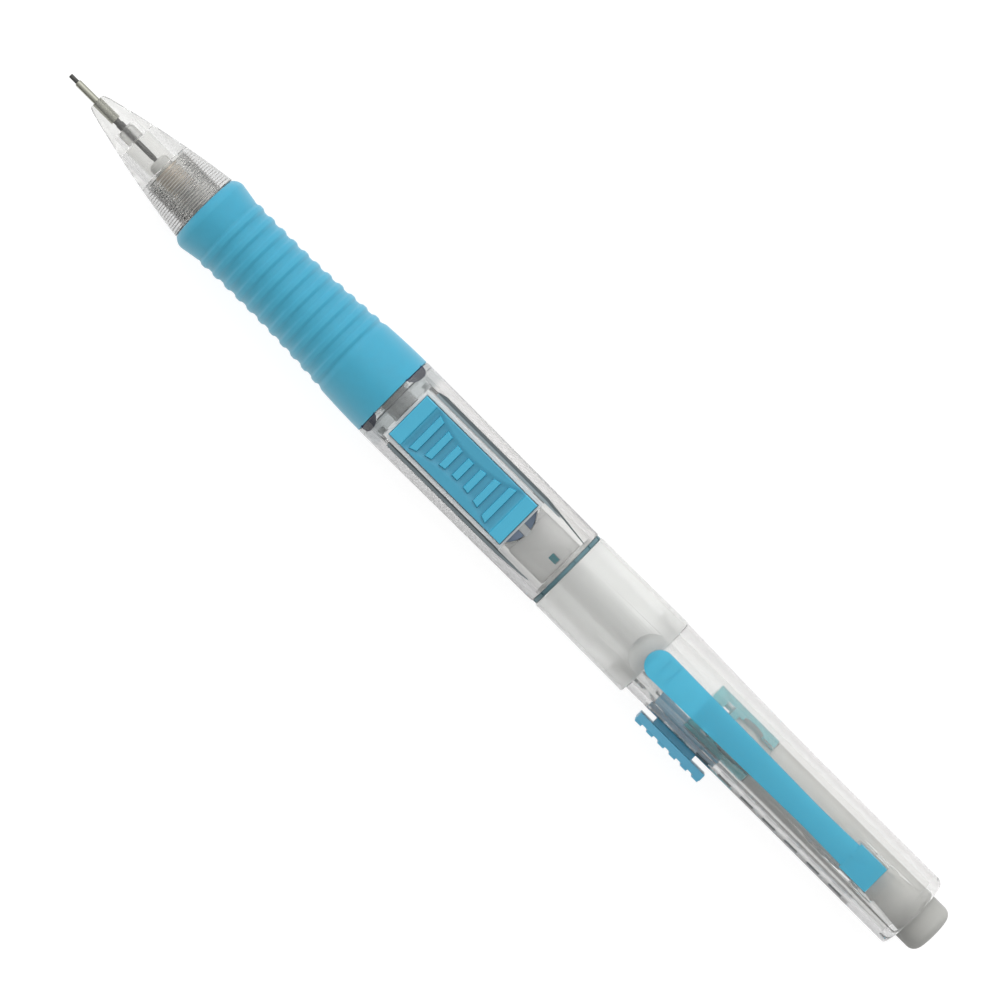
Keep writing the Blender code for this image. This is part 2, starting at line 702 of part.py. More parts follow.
def make_button_pad(parent):
    """The blue thumb pad, with valleys that leave a waisted row of ribs."""
    half_width = PAD_HALF_WIDTH
    body = block((PAD_FRONT, PAD_REAR), (-half_width, half_width), (PAD_BOTTOM, PAD_TOP))
    soften_edges(body, PAD_EDGE)
    pad = piece("button_pad", body, "blue_plastic", parent)
    valleys = bmesh.new()
    valley = RIB_PITCH - RIB_WIDTH
    for number in range(RIB_COUNT + 1):
        centre = RIB_FIRST + RIB_PITCH * (number - 0.5)
        half_length = min(rib_half_length(centre), RIB_END_HALF_LENGTH)
        add_block(valleys, (centre - valley / 2, centre + valley / 2), (-half_length, half_length),
                  (PAD_TOP - RIB_VALLEY_DEPTH, PAD_TOP + 1))
    combine(pad, "valleys", valleys)


def make_joint_ring(parent):
    """The thin dark ring under the front barrel's lip."""
    ring = tube(JOINT_RING_FRONT, JOINT_RING_REAR, JOINT_RING_RADIUS, JOINT_RING_BORE)
    piece("joint_ring", ring, "dark_teal_plastic", parent)


def make_mid_barrel(parent):
    """The milky barrel section, with a spigot in front and a socket for the rear tube."""
    profile = [
        (MID_SPIGOT_FRONT, MID_BORE_RADIUS),
        (MID_SPIGOT_FRONT, MID_SPIGOT_RADIUS),
        (MID_FRONT, MID_SPIGOT_RADIUS),
        (MID_FRONT, BARREL_RADIUS),
        (MID_REAR, BARREL_RADIUS),
        (MID_REAR, MID_SOCKET_RADIUS),
        (MID_SOCKET_FRONT, MID_SOCKET_RADIUS),
        (MID_SOCKET_FRONT, MID_BORE_RADIUS),
    ]
    barrel = piece("mid_barrel", turned(profile), "milky_plastic", parent)
    arc_steps = 8
    centre = SCOOP_FRONT + SCOOP_HALF_WIDTH
    outline = [(MID_REAR + 1, SCOOP_HALF_WIDTH, SCOOP_FLOOR), (centre, SCOOP_HALF_WIDTH, SCOOP_FLOOR)]
    for step in range(1, arc_steps):
        angle = math.pi * step / arc_steps
        outline.append((centre - SCOOP_HALF_WIDTH * math.sin(angle), SCOOP_HALF_WIDTH * math.cos(angle),
                        SCOOP_FLOOR))
    outline += [(centre, -SCOOP_HALF_WIDTH, SCOOP_FLOOR), (MID_REAR + 1, -SCOOP_HALF_WIDTH, SCOOP_FLOOR)]
    combine(barrel, "clip_scoop", prism(outline, (0.0, 0.0, BARREL_RADIUS)))


def make_tank_stopper(parent):
    """The cup-shaped plug that closes the lead space behind the tank."""
    profile = [
        (STOPPER_FRONT, 0.0),
        (STOPPER_FRONT, STOPPER_RADIUS),
        (STOPPER_REAR, STOPPER_RADIUS),
        (STOPPER_REAR, STOPPER_RADIUS - STOPPER_WALL),
        (STOPPER_FRONT + STOPPER_WALL, STOPPER_RADIUS - STOPPER_WALL),
        (STOPPER_FRONT + STOPPER_WALL, 0.0),
    ]
    piece("tank_stopper", turned(profile, hollow=False), "milky_plastic", parent)


def make_rear_tube(parent):
    """The clear rear tube, with the slide's slot and rack on one flat and the clip's window on another."""
    profile = [
        (REAR_SPIGOT_FRONT, REAR_BORE_RADIUS),
        (REAR_SPIGOT_FRONT, REAR_SPIGOT_RADIUS),
        (REAR_FRONT, REAR_SPIGOT_RADIUS),
        (REAR_FRONT, REAR_FRONT_RADIUS),
        (REAR_TAPER_REAR, REAR_RADIUS),
    ]
    for step in range(REAR_CORNER_STEPS + 1):
        angle = math.pi / 2 * step / REAR_CORNER_STEPS
        profile.append((REAR_REAR - REAR_CORNER_RADIUS * (1 - math.sin(angle)),
                        REAR_RADIUS - REAR_CORNER_RADIUS * (1 - math.cos(angle))))
    profile += [
        (REAR_REAR, REAR_MOUTH_RADIUS),
        (REAR_BORE_REAR, REAR_MOUTH_RADIUS),
        (REAR_BORE_REAR, REAR_BORE_RADIUS),
    ]
    rear = piece("rear_tube", turned(profile), "clear_plastic", parent)
    beyond = REAR_FRONT_RADIUS + 1
    flat_front = REAR_FRONT - FLUSH_STEP
    flat_rear = REAR_REAR + 1
    side_flat = block((flat_front, flat_rear), (-beyond, -REAR_FLAT), (-beyond, beyond))
    combine(rear, "side_flat", side_flat)
    sloped = [
        (flat_front, -beyond, REAR_TOP_FLAT_FRONT),
        (flat_rear, -beyond, REAR_TOP_FLAT_REAR),
        (flat_rear, -beyond, beyond),
        (flat_front, -beyond, beyond),
    ]
    combine(rear, "top_flat", prism(sloped, (0.0, 2 * beyond, 0.0)))
    seat = block(CLIP_SEAT, (-CLIP_SEAT_HALF_WIDTH, CLIP_SEAT_HALF_WIDTH),
                 (REAR_BORE_RADIUS + OVERLAP, CLIP_SEAT_TOP))
    combine(rear, "clip_seat", seat, "UNION")
    slot = block((SLIDE_SLOT_FRONT, SLIDE_SLOT_REAR), (-beyond, -CARRIER_BORE_RADIUS),
                 (-SLIDE_SLOT_HALF_WIDTH, SLIDE_SLOT_HALF_WIDTH))
    combine(rear, "slide_slot", slot)
    notches = bmesh.new()
    for number in range(NOTCH_COUNT):
        front = NOTCH_FIRST + NOTCH_PITCH * number
        add_block(notches, (front, front + NOTCH_LENGTH), (-beyond, NOTCH_DEPTH - REAR_FLAT),
                  (-NOTCH_HALF_WIDTH, NOTCH_HALF_WIDTH))
    combine(rear, "rack", notches)
    half_width = CLIP_ROOT_HALF_WIDTH + CLIP_WINDOW_GAP
    window = block((CLIP_ROOT_FRONT - CLIP_WINDOW_GAP, CLIP_REAR + CLIP_WINDOW_GAP),
                   (-half_width, half_width), (REAR_MOUTH_RADIUS, beyond))
    combine(rear, "clip_window", window)


def make_clip(parent):
    """The pocket clip: a springy bar with a rounded nose, a contact bump and a square root."""
    nose_centre = CLIP_FRONT + CLIP_FRONT_HALF_WIDTH
    outline = [(CLIP_NECK, CLIP_NECK_HALF_WIDTH, CLIP_BOTTOM)]
    for step in range(CLIP_NOSE_STEPS + 1):
        angle = math.pi * step / CLIP_NOSE_STEPS
        outline.append((nose_centre - CLIP_FRONT_HALF_WIDTH * math.sin(angle),
                        CLIP_FRONT_HALF_WIDTH * math.cos(angle), CLIP_BOTTOM))
    outline.append((CLIP_NECK, -CLIP_NECK_HALF_WIDTH, CLIP_BOTTOM))
    outline.append((CLIP_ROOT_FRONT + OVERLAP, -CLIP_ROOT_NECK_HALF_WIDTH, CLIP_BOTTOM))
    outline.append((CLIP_ROOT_FRONT + OVERLAP, CLIP_ROOT_NECK_HALF_WIDTH, CLIP_BOTTOM))
    clip = piece("clip", prism(outline, (0.0, 0.0, CLIP_TOP - CLIP_BOTTOM)), "blue_tint_plastic", parent)
    root = block((CLIP_ROOT_FRONT, CLIP_REAR), (-CLIP_ROOT_HALF_WIDTH, CLIP_ROOT_HALF_WIDTH),
                 (CLIP_ROOT_BOTTOM, CLIP_ROOT_TOP))
    combine(clip, "root", root, "UNION")
    bump_steps = 6
    bump = []
    for step in range(bump_steps + 1):
        angle = math.pi * step / bump_steps
        bump.append((CLIP_BUMP_X - CLIP_BUMP_RADIUS * math.cos(angle), -CLIP_BUMP_HALF_WIDTH,
                     CLIP_BOTTOM - (CLIP_BOTTOM - CLIP_BUMP_BOTTOM) * math.sin(angle)))
    inside = CLIP_BOTTOM + OVERLAP
    bump = [(CLIP_BUMP_X - CLIP_BUMP_RADIUS, -CLIP_BUMP_HALF_WIDTH, inside)] + bump
    bump.append((CLIP_BUMP_X + CLIP_BUMP_RADIUS, -CLIP_BUMP_HALF_WIDTH, inside))
    combine(clip, "bump", prism(bump, (0.0, 2 * CLIP_BUMP_HALF_WIDTH, 0.0)), "UNION")


def make_eraser_slider(parent):
    """The blue slide: a plate in the tube, a neck through the slot and a ridged knob outside."""
    plate_inner, plate_outer = SLIDE_PLATE_DEPTH
    plate = block(SLIDE_PLATE, (-plate_outer, -plate_inner),
                  (-SLIDE_PLATE_HALF_WIDTH, SLIDE_PLATE_HALF_WIDTH))
    slider = piece("eraser_slider", plate, "blue_plastic", parent)
    neck = block(SLIDE_NECK, (-KNOB_INNER - OVERLAP, -plate_inner - OVERLAP / 2),
                 (-SLIDE_NECK_HALF_WIDTH, SLIDE_NECK_HALF_WIDTH))
    combine(slider, "neck", neck, "UNION")
    knob = block(KNOB, (-KNOB_OUTER, -KNOB_INNER), (-KNOB_HALF_WIDTH, KNOB_HALF_WIDTH))
    combine(slider, "knob", knob, "UNION")
    ridges = bmesh.new()
    row = KNOB_RIDGE_PITCH * (KNOB_RIDGE_COUNT - 1)
    first = (KNOB[0] + KNOB[1] - row) / 2
    for number in range(KNOB_RIDGE_COUNT):
        centre = first + KNOB_RIDGE_PITCH * number
        front = max(centre - KNOB_RIDGE_LENGTH / 2, KNOB[0] + FLUSH_STEP)
        rear = min(centre + KNOB_RIDGE_LENGTH / 2, KNOB[1] - FLUSH_STEP)
        add_block(ridges, (front, rear), (-KNOB_OUTER - KNOB_RIDGE_HEIGHT, -KNOB_OUTER + OVERLAP),
                  (-KNOB_HALF_WIDTH + FLUSH_STEP, KNOB_HALF_WIDTH - FLUSH_STEP))
    combine(slider, "ridges", ridges, "UNION")


def make_eraser_carrier(parent):
    """The tinted cup that holds the eraser, with windows, finger slots and a flat for the slide."""
    profile = [
        (CARRIER_FRONT, 0.0),
        (CARRIER_FRONT, CARRIER_RADIUS),
        (CARRIER_REAR, CARRIER_RADIUS),
        (CARRIER_REAR, CARRIER_BORE_RADIUS),
        (CARRIER_FLOOR, CARRIER_BORE_RADIUS),
        (CARRIER_FLOOR, 0.0),
    ]
    carrier = piece("eraser_carrier", turned(profile, hollow=False), "teal_tint_plastic", parent)
    flat = block((CARRIER_FRONT - 1, CARRIER_REAR + 1), (-CARRIER_RADIUS - 1, -CARRIER_FLAT),
                 (-CARRIER_FLAT_HALF_WIDTH, CARRIER_FLAT_HALF_WIDTH))
    combine(carrier, "flat", flat)
    openings = bmesh.new()
    for side in CARRIER_OPENING, mirrored(CARRIER_OPENING):
        for span in CARRIER_WINDOW, (CARRIER_FINGER_SLOT_FRONT, CARRIER_REAR + 1):
            add_block(openings, span, side, (-CARRIER_RADIUS - 1, CARRIER_RADIUS + 1))
    combine(carrier, "openings", openings)


def make_eraser(parent):
    """The eraser stick, with a shank in the carrier and a rounded end."""
    profile = [
        (ERASER_SHANK_FRONT, 0.0),
        (ERASER_SHANK_FRONT, ERASER_SHANK_RADIUS),
        (ERASER_SHOULDER, ERASER_SHANK_RADIUS),
        (ERASER_SHOULDER, ERASER_RADIUS),
    ]
    for step in range(ERASER_FILLET_STEPS + 1):
        angle = math.pi / 2 * step / ERASER_FILLET_STEPS
        profile.append((LENGTH - ERASER_FILLET * (1 - math.sin(angle)),
                        ERASER_RADIUS - ERASER_FILLET * (1 - math.cos(angle))))
    profile.append((LENGTH, 0.0))
    piece("eraser", turned(profile, hollow=False), "eraser_vinyl", parent)


def build():
    """Make every piece of the pencil on its joint's empty."""
    clear_scene()
    barrel = joint_origin("barrel")
    make_lead_sleeve(barrel)
    make_lead_retainer(barrel)
    make_nose_cone(barrel)
    make_chuck_spring(barrel)
    make_front_barrel(barrel)
    make_grip_sleeve(barrel)
    make_joint_ring(barrel)
    make_mid_barrel(barrel)
    make_tank_stopper(barrel)
    make_rear_tube(barrel)

    lead_feed = joint_origin("lead_feed")
    make_lead(lead_feed)

    ring_slide = joint_origin("ring_slide", x=RING_FRONT)
    make_clutch_ring(ring_slide)

    chuck_feed = joint_origin("chuck_feed", x=CHUCK_FRONT)
    make_chuck(chuck_feed)
    make_lead_tank(chuck_feed)
    make_spare_leads(chuck_feed)
    make_cam_slider(chuck_feed)

    button_press = joint_origin("button_press", x=(PAD_FRONT + PAD_REAR) / 2, z=PAD_TOP)
    make_button_carrier(button_press)
    make_button_pad(button_press)

    clip_lift = joint_origin("clip_lift", x=(CLIP_ROOT_FRONT + CLIP_REAR) / 2, z=CLIP_PIVOT_Z)
    make_clip(clip_lift)

    eraser_feed = joint_origin("eraser_feed", x=CARRIER_FRONT)
    make_eraser_slider(eraser_feed)
    make_eraser_carrier(eraser_feed)
    make_eraser(eraser_feed)


build()
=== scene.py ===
# The looks of a side-click mechanical pencil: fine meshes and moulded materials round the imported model.
# Lengths are in millimetres in the shape functions, and become metres when a mesh is made.

import math

import bmesh
import bpy
from mathutils import Matrix, Vector


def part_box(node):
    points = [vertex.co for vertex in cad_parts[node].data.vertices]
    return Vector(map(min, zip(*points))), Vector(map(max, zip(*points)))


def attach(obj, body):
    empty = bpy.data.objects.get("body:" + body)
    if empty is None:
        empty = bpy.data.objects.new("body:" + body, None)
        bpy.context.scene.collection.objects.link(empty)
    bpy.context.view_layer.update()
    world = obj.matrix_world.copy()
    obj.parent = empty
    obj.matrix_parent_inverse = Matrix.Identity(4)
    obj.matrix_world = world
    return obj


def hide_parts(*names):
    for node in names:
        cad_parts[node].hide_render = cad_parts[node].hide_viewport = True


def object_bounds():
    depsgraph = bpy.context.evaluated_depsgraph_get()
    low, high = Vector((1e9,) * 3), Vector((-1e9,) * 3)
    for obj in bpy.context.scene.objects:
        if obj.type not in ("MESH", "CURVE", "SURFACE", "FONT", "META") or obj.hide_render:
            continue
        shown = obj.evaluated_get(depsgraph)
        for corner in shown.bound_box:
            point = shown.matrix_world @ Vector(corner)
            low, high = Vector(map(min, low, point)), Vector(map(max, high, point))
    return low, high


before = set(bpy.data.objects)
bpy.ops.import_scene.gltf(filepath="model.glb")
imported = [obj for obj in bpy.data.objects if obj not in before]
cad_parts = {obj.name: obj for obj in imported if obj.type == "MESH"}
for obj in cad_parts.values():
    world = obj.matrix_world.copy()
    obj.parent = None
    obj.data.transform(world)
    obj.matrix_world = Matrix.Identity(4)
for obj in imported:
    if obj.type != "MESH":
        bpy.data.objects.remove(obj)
cad_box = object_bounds()

MM = 0.001
MICRON = 1e-6
TINY = 1e-6

# Steps round a turned piece: the barrel's shells, the grip, the small metal parts and the leads
SEGMENTS = 96
GRIP_SEGMENTS = 128
FINE_SEGMENTS = 48
LEAD_SEGMENTS = 32
SHARP_ANGLE = math.radians(40)

# How far from the axis the cutting tools reach
BEYOND = 7.0

# Nose: the lead's bore, and the thread between the cone and the front barrel
LEAD_BORE = 0.3
THREAD_PITCH = 0.36
THREAD_DEPTH = 0.14
SPIGOT_RADIUS = 3.04
SOCKET_RADIUS = 3.22

# Front barrel: it narrows by TAPER from TAPER_FRONT to its rear end. The button's slot ends in an arc.
TAPER_FRONT = 58.0
TAPER = 0.14
SLOT_ARC_CENTRE = 73.7

# Grip: the middle of the first ridge, the distance between ridges, and their number
RIDGE_FIRST = 27.46
RIDGE_PITCH = 1.904
RIDGE_COUNT = 11

# Thumb pad and its ribs
PAD_TOP = 6.3
RIB_FIRST = 60.9
RIB_PITCH = 1.96
RIB_HALF_WIDTH = 0.465
RIB_COUNT = 7
RIB_MIDDLE = RIB_FIRST + RIB_PITCH * (RIB_COUNT - 1) / 2

# Rear tube: the rack of notches along its flat, and the length of the clip's root in its window
RACK_FIRST = 102.94
RACK_PITCH = 3.72
RACK_COUNT = 9
NOTCH_LENGTH = 2.1
CLIP_ROOT_LENGTH = 4.3

# Camera and floor
CAMERA_DISTANCE = 600
CAMERA_TILT = math.radians(2.9)
CAMERA_ROLL = math.radians(44.87)
FRAME_WIDTH = 120.0
SENSOR_WIDTH = 36.0
VIEW_CENTRE = (72.48, 0.24, 0.0)
FLOOR_GAP = 0.05


# ---------------------------------------------------------------- shape helpers

def span(node):
    """Return a CAD node's limits in millimetres: (x0, x1), (y0, y1), (z0, z1)."""
    low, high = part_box(node)
    return [(low[axis] / MM, high[axis] / MM) for axis in range(3)]


def rounded(points, radius, closed=True):
    """Round the corners of an outline, by at most a given radius."""
    steps = 4
    nearly_straight = -0.985
    result = []
    count = len(points)
    for index, point in enumerate(points):
        if not closed and index in (0, count - 1):
            result.append(point)
            continue
        corner = Vector(point)
        before = Vector(points[index - 1]) - corner
        after = Vector(points[(index + 1) % count]) - corner
        if before.normalized().dot(after.normalized()) < nearly_straight:
            result.append(point)
            continue
        reach = min(radius, 0.45 * before.length, 0.45 * after.length)
        start = corner + before.normalized() * reach
        end = corner + after.normalized() * reach
        for step in range(steps + 1):
            t = step / steps
            result.append(tuple((1 - t) ** 2 * start + 2 * t * (1 - t) * corner + t ** 2 * end))
    return result


def new_object(name, verts, faces):
    """Make a smooth-shaded mesh object from millimetre coordinates, with its faces turned outwards."""
    mesh = bpy.data.meshes.new(name)
    mesh.from_pydata([(x * MM, y * MM, z * MM) for x, y, z in verts], [], faces)
    shape = bmesh.new()
    shape.from_mesh(mesh)
    bmesh.ops.recalc_face_normals(shape, faces=shape.faces)
    shape.to_mesh(mesh)
    shape.free()
    obj = bpy.data.objects.new(name, mesh)
    bpy.context.collection.objects.link(obj)
    return obj


def shade(obj, angle=SHARP_ANGLE):
    """Shade an object smooth, with its corners sharp."""
    obj.data.shade_smooth()
    obj.data.set_sharp_from_angle(angle=angle)
    return obj


def turned(name, profile, segments=SEGMENTS, closed=True):
    """Turn a profile of (x, radius) points about the X axis."""
    turns = [2 * math.pi * step / segments for step in range(segments)]
    verts = []
    rings = []
    for x, radius in profile:
        first = len(verts)
        if radius < TINY:
            verts.append((x, 0.0, 0.0))
            rings.append([first] * segments)
        else:
            verts += [(x, radius * math.cos(turn), radius * math.sin(turn)) for turn in turns]
            rings.append(list(range(first, first + segments)))
    pairs = list(zip(rings, rings[1:]))
    if closed:
        pairs.append((rings[-1], rings[0]))
    faces = []
    for ring, next_ring in pairs:
        for step in range(segments):
            after = (step + 1) % segments
            corners = [ring[step], ring[after], next_ring[after], next_ring[step]]
            face = list(dict.fromkeys(corners))
            if len(face) > 2:
                faces.append(face)
    return new_object(name, verts, faces)


def loft(name, sections):
    """Join closed loops of equal length into a capped solid."""
    verts = [point for section in sections for point in section]
    count = len(sections[0])
    faces = []
    for row in range(len(sections) - 1):
        for step in range(count):
            after = (step + 1) % count
            faces.append([row * count + step, row * count + after,
                          (row + 1) * count + after, (row + 1) * count + step])
    faces.append(list(range(count)))
    faces.append(list(range((len(sections) - 1) * count, len(sections) * count)))
    return new_object(name, verts, faces)


def slab(name, outline, low, high):
    """Extrude an outline of (x, y) points between two heights."""
    return loft(name, [[(x, y, height) for x, y in outline] for height in (low, high)])


def block(name, x_range, y_range, z_range):
    """Make a box between three pairs of limits."""
    outline = [(x_range[0], y_range[0]), (x_range[1], y_range[0]), (x_range[1], y_range[1]),
               (x_range[0], y_range[1])]
    return slab(name, outline, *z_range)


def bake_modifiers(obj):
    """Turn an object's modifiers into its mesh."""
    depsgraph = bpy.context.evaluated_depsgraph_get()
    mesh = bpy.data.meshes.new_from_object(obj.evaluated_get(depsgraph))
    obj.modifiers.clear()
    old = obj.data
    obj.data = mesh
    bpy.data.meshes.remove(old)


def bevelled(obj, width, segments=3):
    """Round an object's edges."""
    bevel = obj.modifiers.new("edge", "BEVEL")
    bevel.width = width * MM
    bevel.segments = segments
    bevel.limit_method = "ANGLE"
    bevel.angle_limit = math.radians(35)
    bevel.harden_normals = False
    bake_modifiers(obj)
    return obj


def combine(obj, tool, operation="DIFFERENCE"):
    """Cut a tool shape out of an object, or join it on, and remove the tool."""
    boolean = obj.modifiers.new("cut", "BOOLEAN")
    boolean.operation = operation
    boolean.solver = "EXACT"
    boolean.object = tool
    bake_modifiers(obj)
    bpy.data.objects.remove(tool)
    return obj


def ease(share):
    """Return a smooth step from 0 to 1 while share goes from 0 to 1."""
    share = min(1.0, max(0.0, share))
    return share * share * (3 - 2 * share)


def stations(low, high, step):
    """Return evenly spaced places from low to high, both included."""
    count = max(1, round((high - low) / step))
    return [low + (high - low) * index / count for index in range(count + 1)]


def cut_thread(obj, low, high, radius):
    """Raise a helical thread on the stretch of a turned surface that has the given radius."""
    run_out = 0.5
    for vert in obj.data.vertices:
        x, y, z = (coordinate / MM for coordinate in vert.co)
        if low < x < high and abs(math.hypot(y, z) - radius) < 0.01:
            turns = x / THREAD_PITCH - math.atan2(z, y) / (2 * math.pi)
            wave = 0.5 - 0.5 * math.cos(2 * math.pi * turns)
            fade = ease((x - low) / run_out) * ease((high - x) / run_out)
            growth = 1 + THREAD_DEPTH * wave * fade / radius
            vert.co.y *= growth
            vert.co.z *= growth


def relief(name, x_range, y_range, bottom, height, step):
    """Make a slab whose top is given by a height function of x and y."""
    xs = stations(*x_range, step)
    ys = stations(*y_range, step)
    verts = [(x, y, height(x, y)) for x in xs for y in ys]
    columns = len(xs)
    rows = len(ys)
    faces = []
    for i in range(columns - 1):
        for j in range(rows - 1):
            corner = i * rows + j
            faces.append([corner, corner + rows, corner + rows + 1, corner + 1])
    rim = [i * rows for i in range(columns)]
    rim += [(columns - 1) * rows + j for j in range(1, rows)]
    rim += [i * rows + rows - 1 for i in reversed(range(columns - 1))]
    rim += list(reversed(range(1, rows - 1)))
    first = len(verts)
    verts += [(verts[index][0], verts[index][1], bottom) for index in rim]
    for number, index in enumerate(rim):
        after = (number + 1) % len(rim)
        faces.append([index, rim[after], first + after, first + number])
    faces.append([first + number for number in range(len(rim))])
    return new_object(name, verts, faces)


def cad_copy(node, name):
    """Make a welded copy of a CAD node's mesh."""
    copy = bpy.data.objects.new(name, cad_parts[node].data.copy())
    bpy.context.collection.objects.link(copy)
    weld = copy.modifiers.new("weld", "WELD")
    weld.merge_threshold = 0.0001 * MM
    bake_modifiers(copy)
    return copy


def place(obj, material, slot, body, *nodes):
    """Give a finished piece its material and its body, and hide the CAD nodes that it stands for. The slot
    is not used.
    """
    obj.data.materials.clear()
    obj.data.materials.append(material)
    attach(obj, body)
    if nodes:
        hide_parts(*nodes)


# ---------------------------------------------------------------- materials

def moulded(name, colour, roughness, transmission=0.0, metallic=0.0, ior=1.49, mottle=0.04, mottle_size=2.0,
            grain=0.1, grain_size=0.05, subsurface=0.0, sheen=0.0):
    """Make a material whose colour, roughness and surface vary slightly, as on a real moulding.

    The mottle is the share by which the colour varies. The grain is the height of the bumps in micrometres.
    The sizes of both are in millimetres.
    """
    material = bpy.data.materials.new(name)
    material.use_nodes = True
    nodes = material.node_tree.nodes
    links = material.node_tree.links
    shader = nodes["Principled BSDF"]
    shader.inputs["Metallic"].default_value = metallic
    shader.inputs["IOR"].default_value = ior
    shader.inputs["Transmission Weight"].default_value = transmission
    shader.inputs["Subsurface Weight"].default_value = subsurface
    shader.inputs["Subsurface Radius"].default_value = (1.0, 1.0, 1.0)
    shader.inputs["Subsurface Scale"].default_value = 0.6 * MM
    shader.inputs["Sheen Weight"].default_value = sheen
    where = nodes.new("ShaderNodeTexCoord")

    slow = nodes.new("ShaderNodeTexNoise")
    slow.inputs["Scale"].default_value = 1 / (mottle_size * MM)
    slow.inputs["Detail"].default_value = 3.0
    links.new(where.outputs["Object"], slow.inputs["Vector"])
    tint = nodes.new("ShaderNodeMix")
    tint.data_type = "RGBA"
    tint.inputs["A"].default_value = (*[channel * (1 - mottle) for channel in colour], 1.0)
    tint.inputs["B"].default_value = (*[min(1.0, channel * (1 + mottle)) for channel in colour], 1.0)
    links.new(slow.outputs["Fac"], tint.inputs["Factor"])
    links.new(tint.outputs["Result"], shader.inputs["Base Color"])
    polish = nodes.new("ShaderNodeMapRange")
    polish.inputs["To Min"].default_value = roughness * 0.8
    polish.inputs["To Max"].default_value = roughness * 1.2
    links.new(slow.outputs["Fac"], polish.inputs["Value"])
    links.new(polish.outputs["Result"], shader.inputs["Roughness"])

    fine = nodes.new("ShaderNodeTexNoise")
    fine.inputs["Scale"].default_value = 1 / (grain_size * MM)
    fine.inputs["Detail"].default_value = 2.0
    links.new(where.outputs["Object"], fine.inputs["Vector"])
    bump = nodes.new("ShaderNodeBump")
    bump.inputs["Strength"].default_value = 1.0
    bump.inputs["Distance"].default_value = grain * MICRON
    links.new(fine.outputs["Fac"], bump.inputs["Height"])
    links.new(bump.outputs["Normal"], shader.inputs["Normal"])
    return material


def calculated(owner, operation, first, second):
    """Return the result of a maths step on a socket and a second socket or number, in the owner's nodes."""
    step = owner.node_tree.nodes.new("ShaderNodeMath")
    step.operation = operation
    owner.node_tree.links.new(first, step.inputs[0])
    if isinstance(second, float):
        step.inputs[1].default_value = second
    else:
        owner.node_tree.links.new(second, step.inputs[1])
    return step.outputs["Value"]


def position(material, axis):
    """Return a socket that carries the position along one axis, in millimetres."""
    nodes = material.node_tree.nodes
    where = nodes.new("ShaderNodeTexCoord")
    parts = nodes.new("ShaderNodeSeparateXYZ")
    material.node_tree.links.new(where.outputs["Object"], parts.inputs["Vector"])
    return calculated(material, "DIVIDE", parts.outputs[axis], MM)


def ramp(owner, value, low, high, start=0.0, end=1.0, smooth=True):
    """Return a socket that goes from start to end while a value goes from low to high."""
    step = owner.node_tree.nodes.new("ShaderNodeMapRange")
    if smooth:
        step.interpolation_type = "SMOOTHSTEP"
    if low < high:
        limits = (low, high, start, end)
    else:
        limits = (high, low, end, start)
    for name, limit in zip(("From Min", "From Max", "To Min", "To Max"), limits):
        step.inputs[name].default_value = limit
    owner.node_tree.links.new(value, step.inputs["Value"])
    return step.outputs["Result"]


def shift_colour(material, mask, factor):
    """Multiply a material's base colour by a factor where the mask is 1."""
    links = material.node_tree.links
    target = material.node_tree.nodes["Principled BSDF"].inputs["Base Color"]
    mix = material.node_tree.nodes.new("ShaderNodeMix")
    mix.data_type = "RGBA"
    mix.blend_type = "MULTIPLY"
    links.new(target.links[0].from_socket, mix.inputs["A"])
    mix.inputs["B"].default_value = (*factor, 1.0)
    links.new(mask, mix.inputs["Factor"])
    links.new(mix.outputs["Result"], target)


def shift_along(material, axis, start, end, factor):
    """Multiply a material's base colour by a factor, from nothing at start to all of it at end."""
    shift_colour(material, ramp(material, position(material, axis), start, end), factor)


def between(material, x, low, high, edge):
    """Return a mask that is 1 between two places along X, with soft edges inside them."""
    rise = ramp(material, x, low, low + edge)
    return calculated(material, "MULTIPLY", rise, ramp(material, x, high, high - edge))


def shade_valleys(material, first, pitch, count, factor):
    """Paint shade on a ribbed piece between its ridges, which are evenly spaced along X."""
    ridge_half_width, softness = 0.4, 0.15
    x = position(material, "X")
    off_ridge = calculated(material, "PINGPONG", calculated(material, "SUBTRACT", x, first), pitch / 2)
    valleys = ramp(material, off_ridge, ridge_half_width, ridge_half_width + softness)
    ribbed = between(material, x, first - pitch / 2, first + pitch * (count - 0.5), 0.2)
    shift_colour(material, calculated(material, "MULTIPLY", valleys, ribbed), factor)


def dark_plastic_and_shade(name, colour, roughness, ior=1.49):
    """Make a dark material for the small accents and for the pieces of painted shade."""
    return moulded(name, colour, roughness, ior=ior, mottle=0.1, grain=2.0, grain_size=0.2)


CLEAR = moulded("clear_plastic", (0.94, 0.94, 0.93), 0.04, transmission=0.9, mottle=0.015,
                mottle_size=6.0, grain=0.05, grain_size=2.0)
CONE_CLEAR = moulded("cone_plastic", (0.84, 0.84, 0.825), 0.03, transmission=0.96, mottle=0.015,
                     mottle_size=6.0, grain=0.1, grain_size=2.0)
TRAY = moulded("tray_plastic", (0.93, 0.95, 0.95), 0.2, transmission=0.4, mottle=0.02, grain=1.0,
               grain_size=0.8)
MILKY = moulded("milky_plastic", (0.95, 0.955, 0.94), 0.2, transmission=0.7, mottle=0.02, mottle_size=6.0,
                grain=0.4, grain_size=1.0)
INNER = moulded("inner_plastic", (0.96, 0.96, 0.945), 0.25, transmission=0.4, mottle=0.03, grain=0.6,
                grain_size=0.8)
WHITE = moulded("white_plastic", (0.92, 0.92, 0.9), 0.35, mottle=0.03, grain=2.0, grain_size=0.3,
                subsurface=0.2)
GRIP = moulded("grip_rubber", (0.028, 0.33, 0.495), 0.55, mottle=0.06, mottle_size=1.0, grain=8.0,
               grain_size=0.12, subsurface=0.1, sheen=0.3)
PAD_BLUE = moulded("pad_blue_plastic", (0.055, 0.4, 0.58), 0.35, mottle=0.04, grain=3.0, grain_size=0.12,
                   subsurface=0.1)
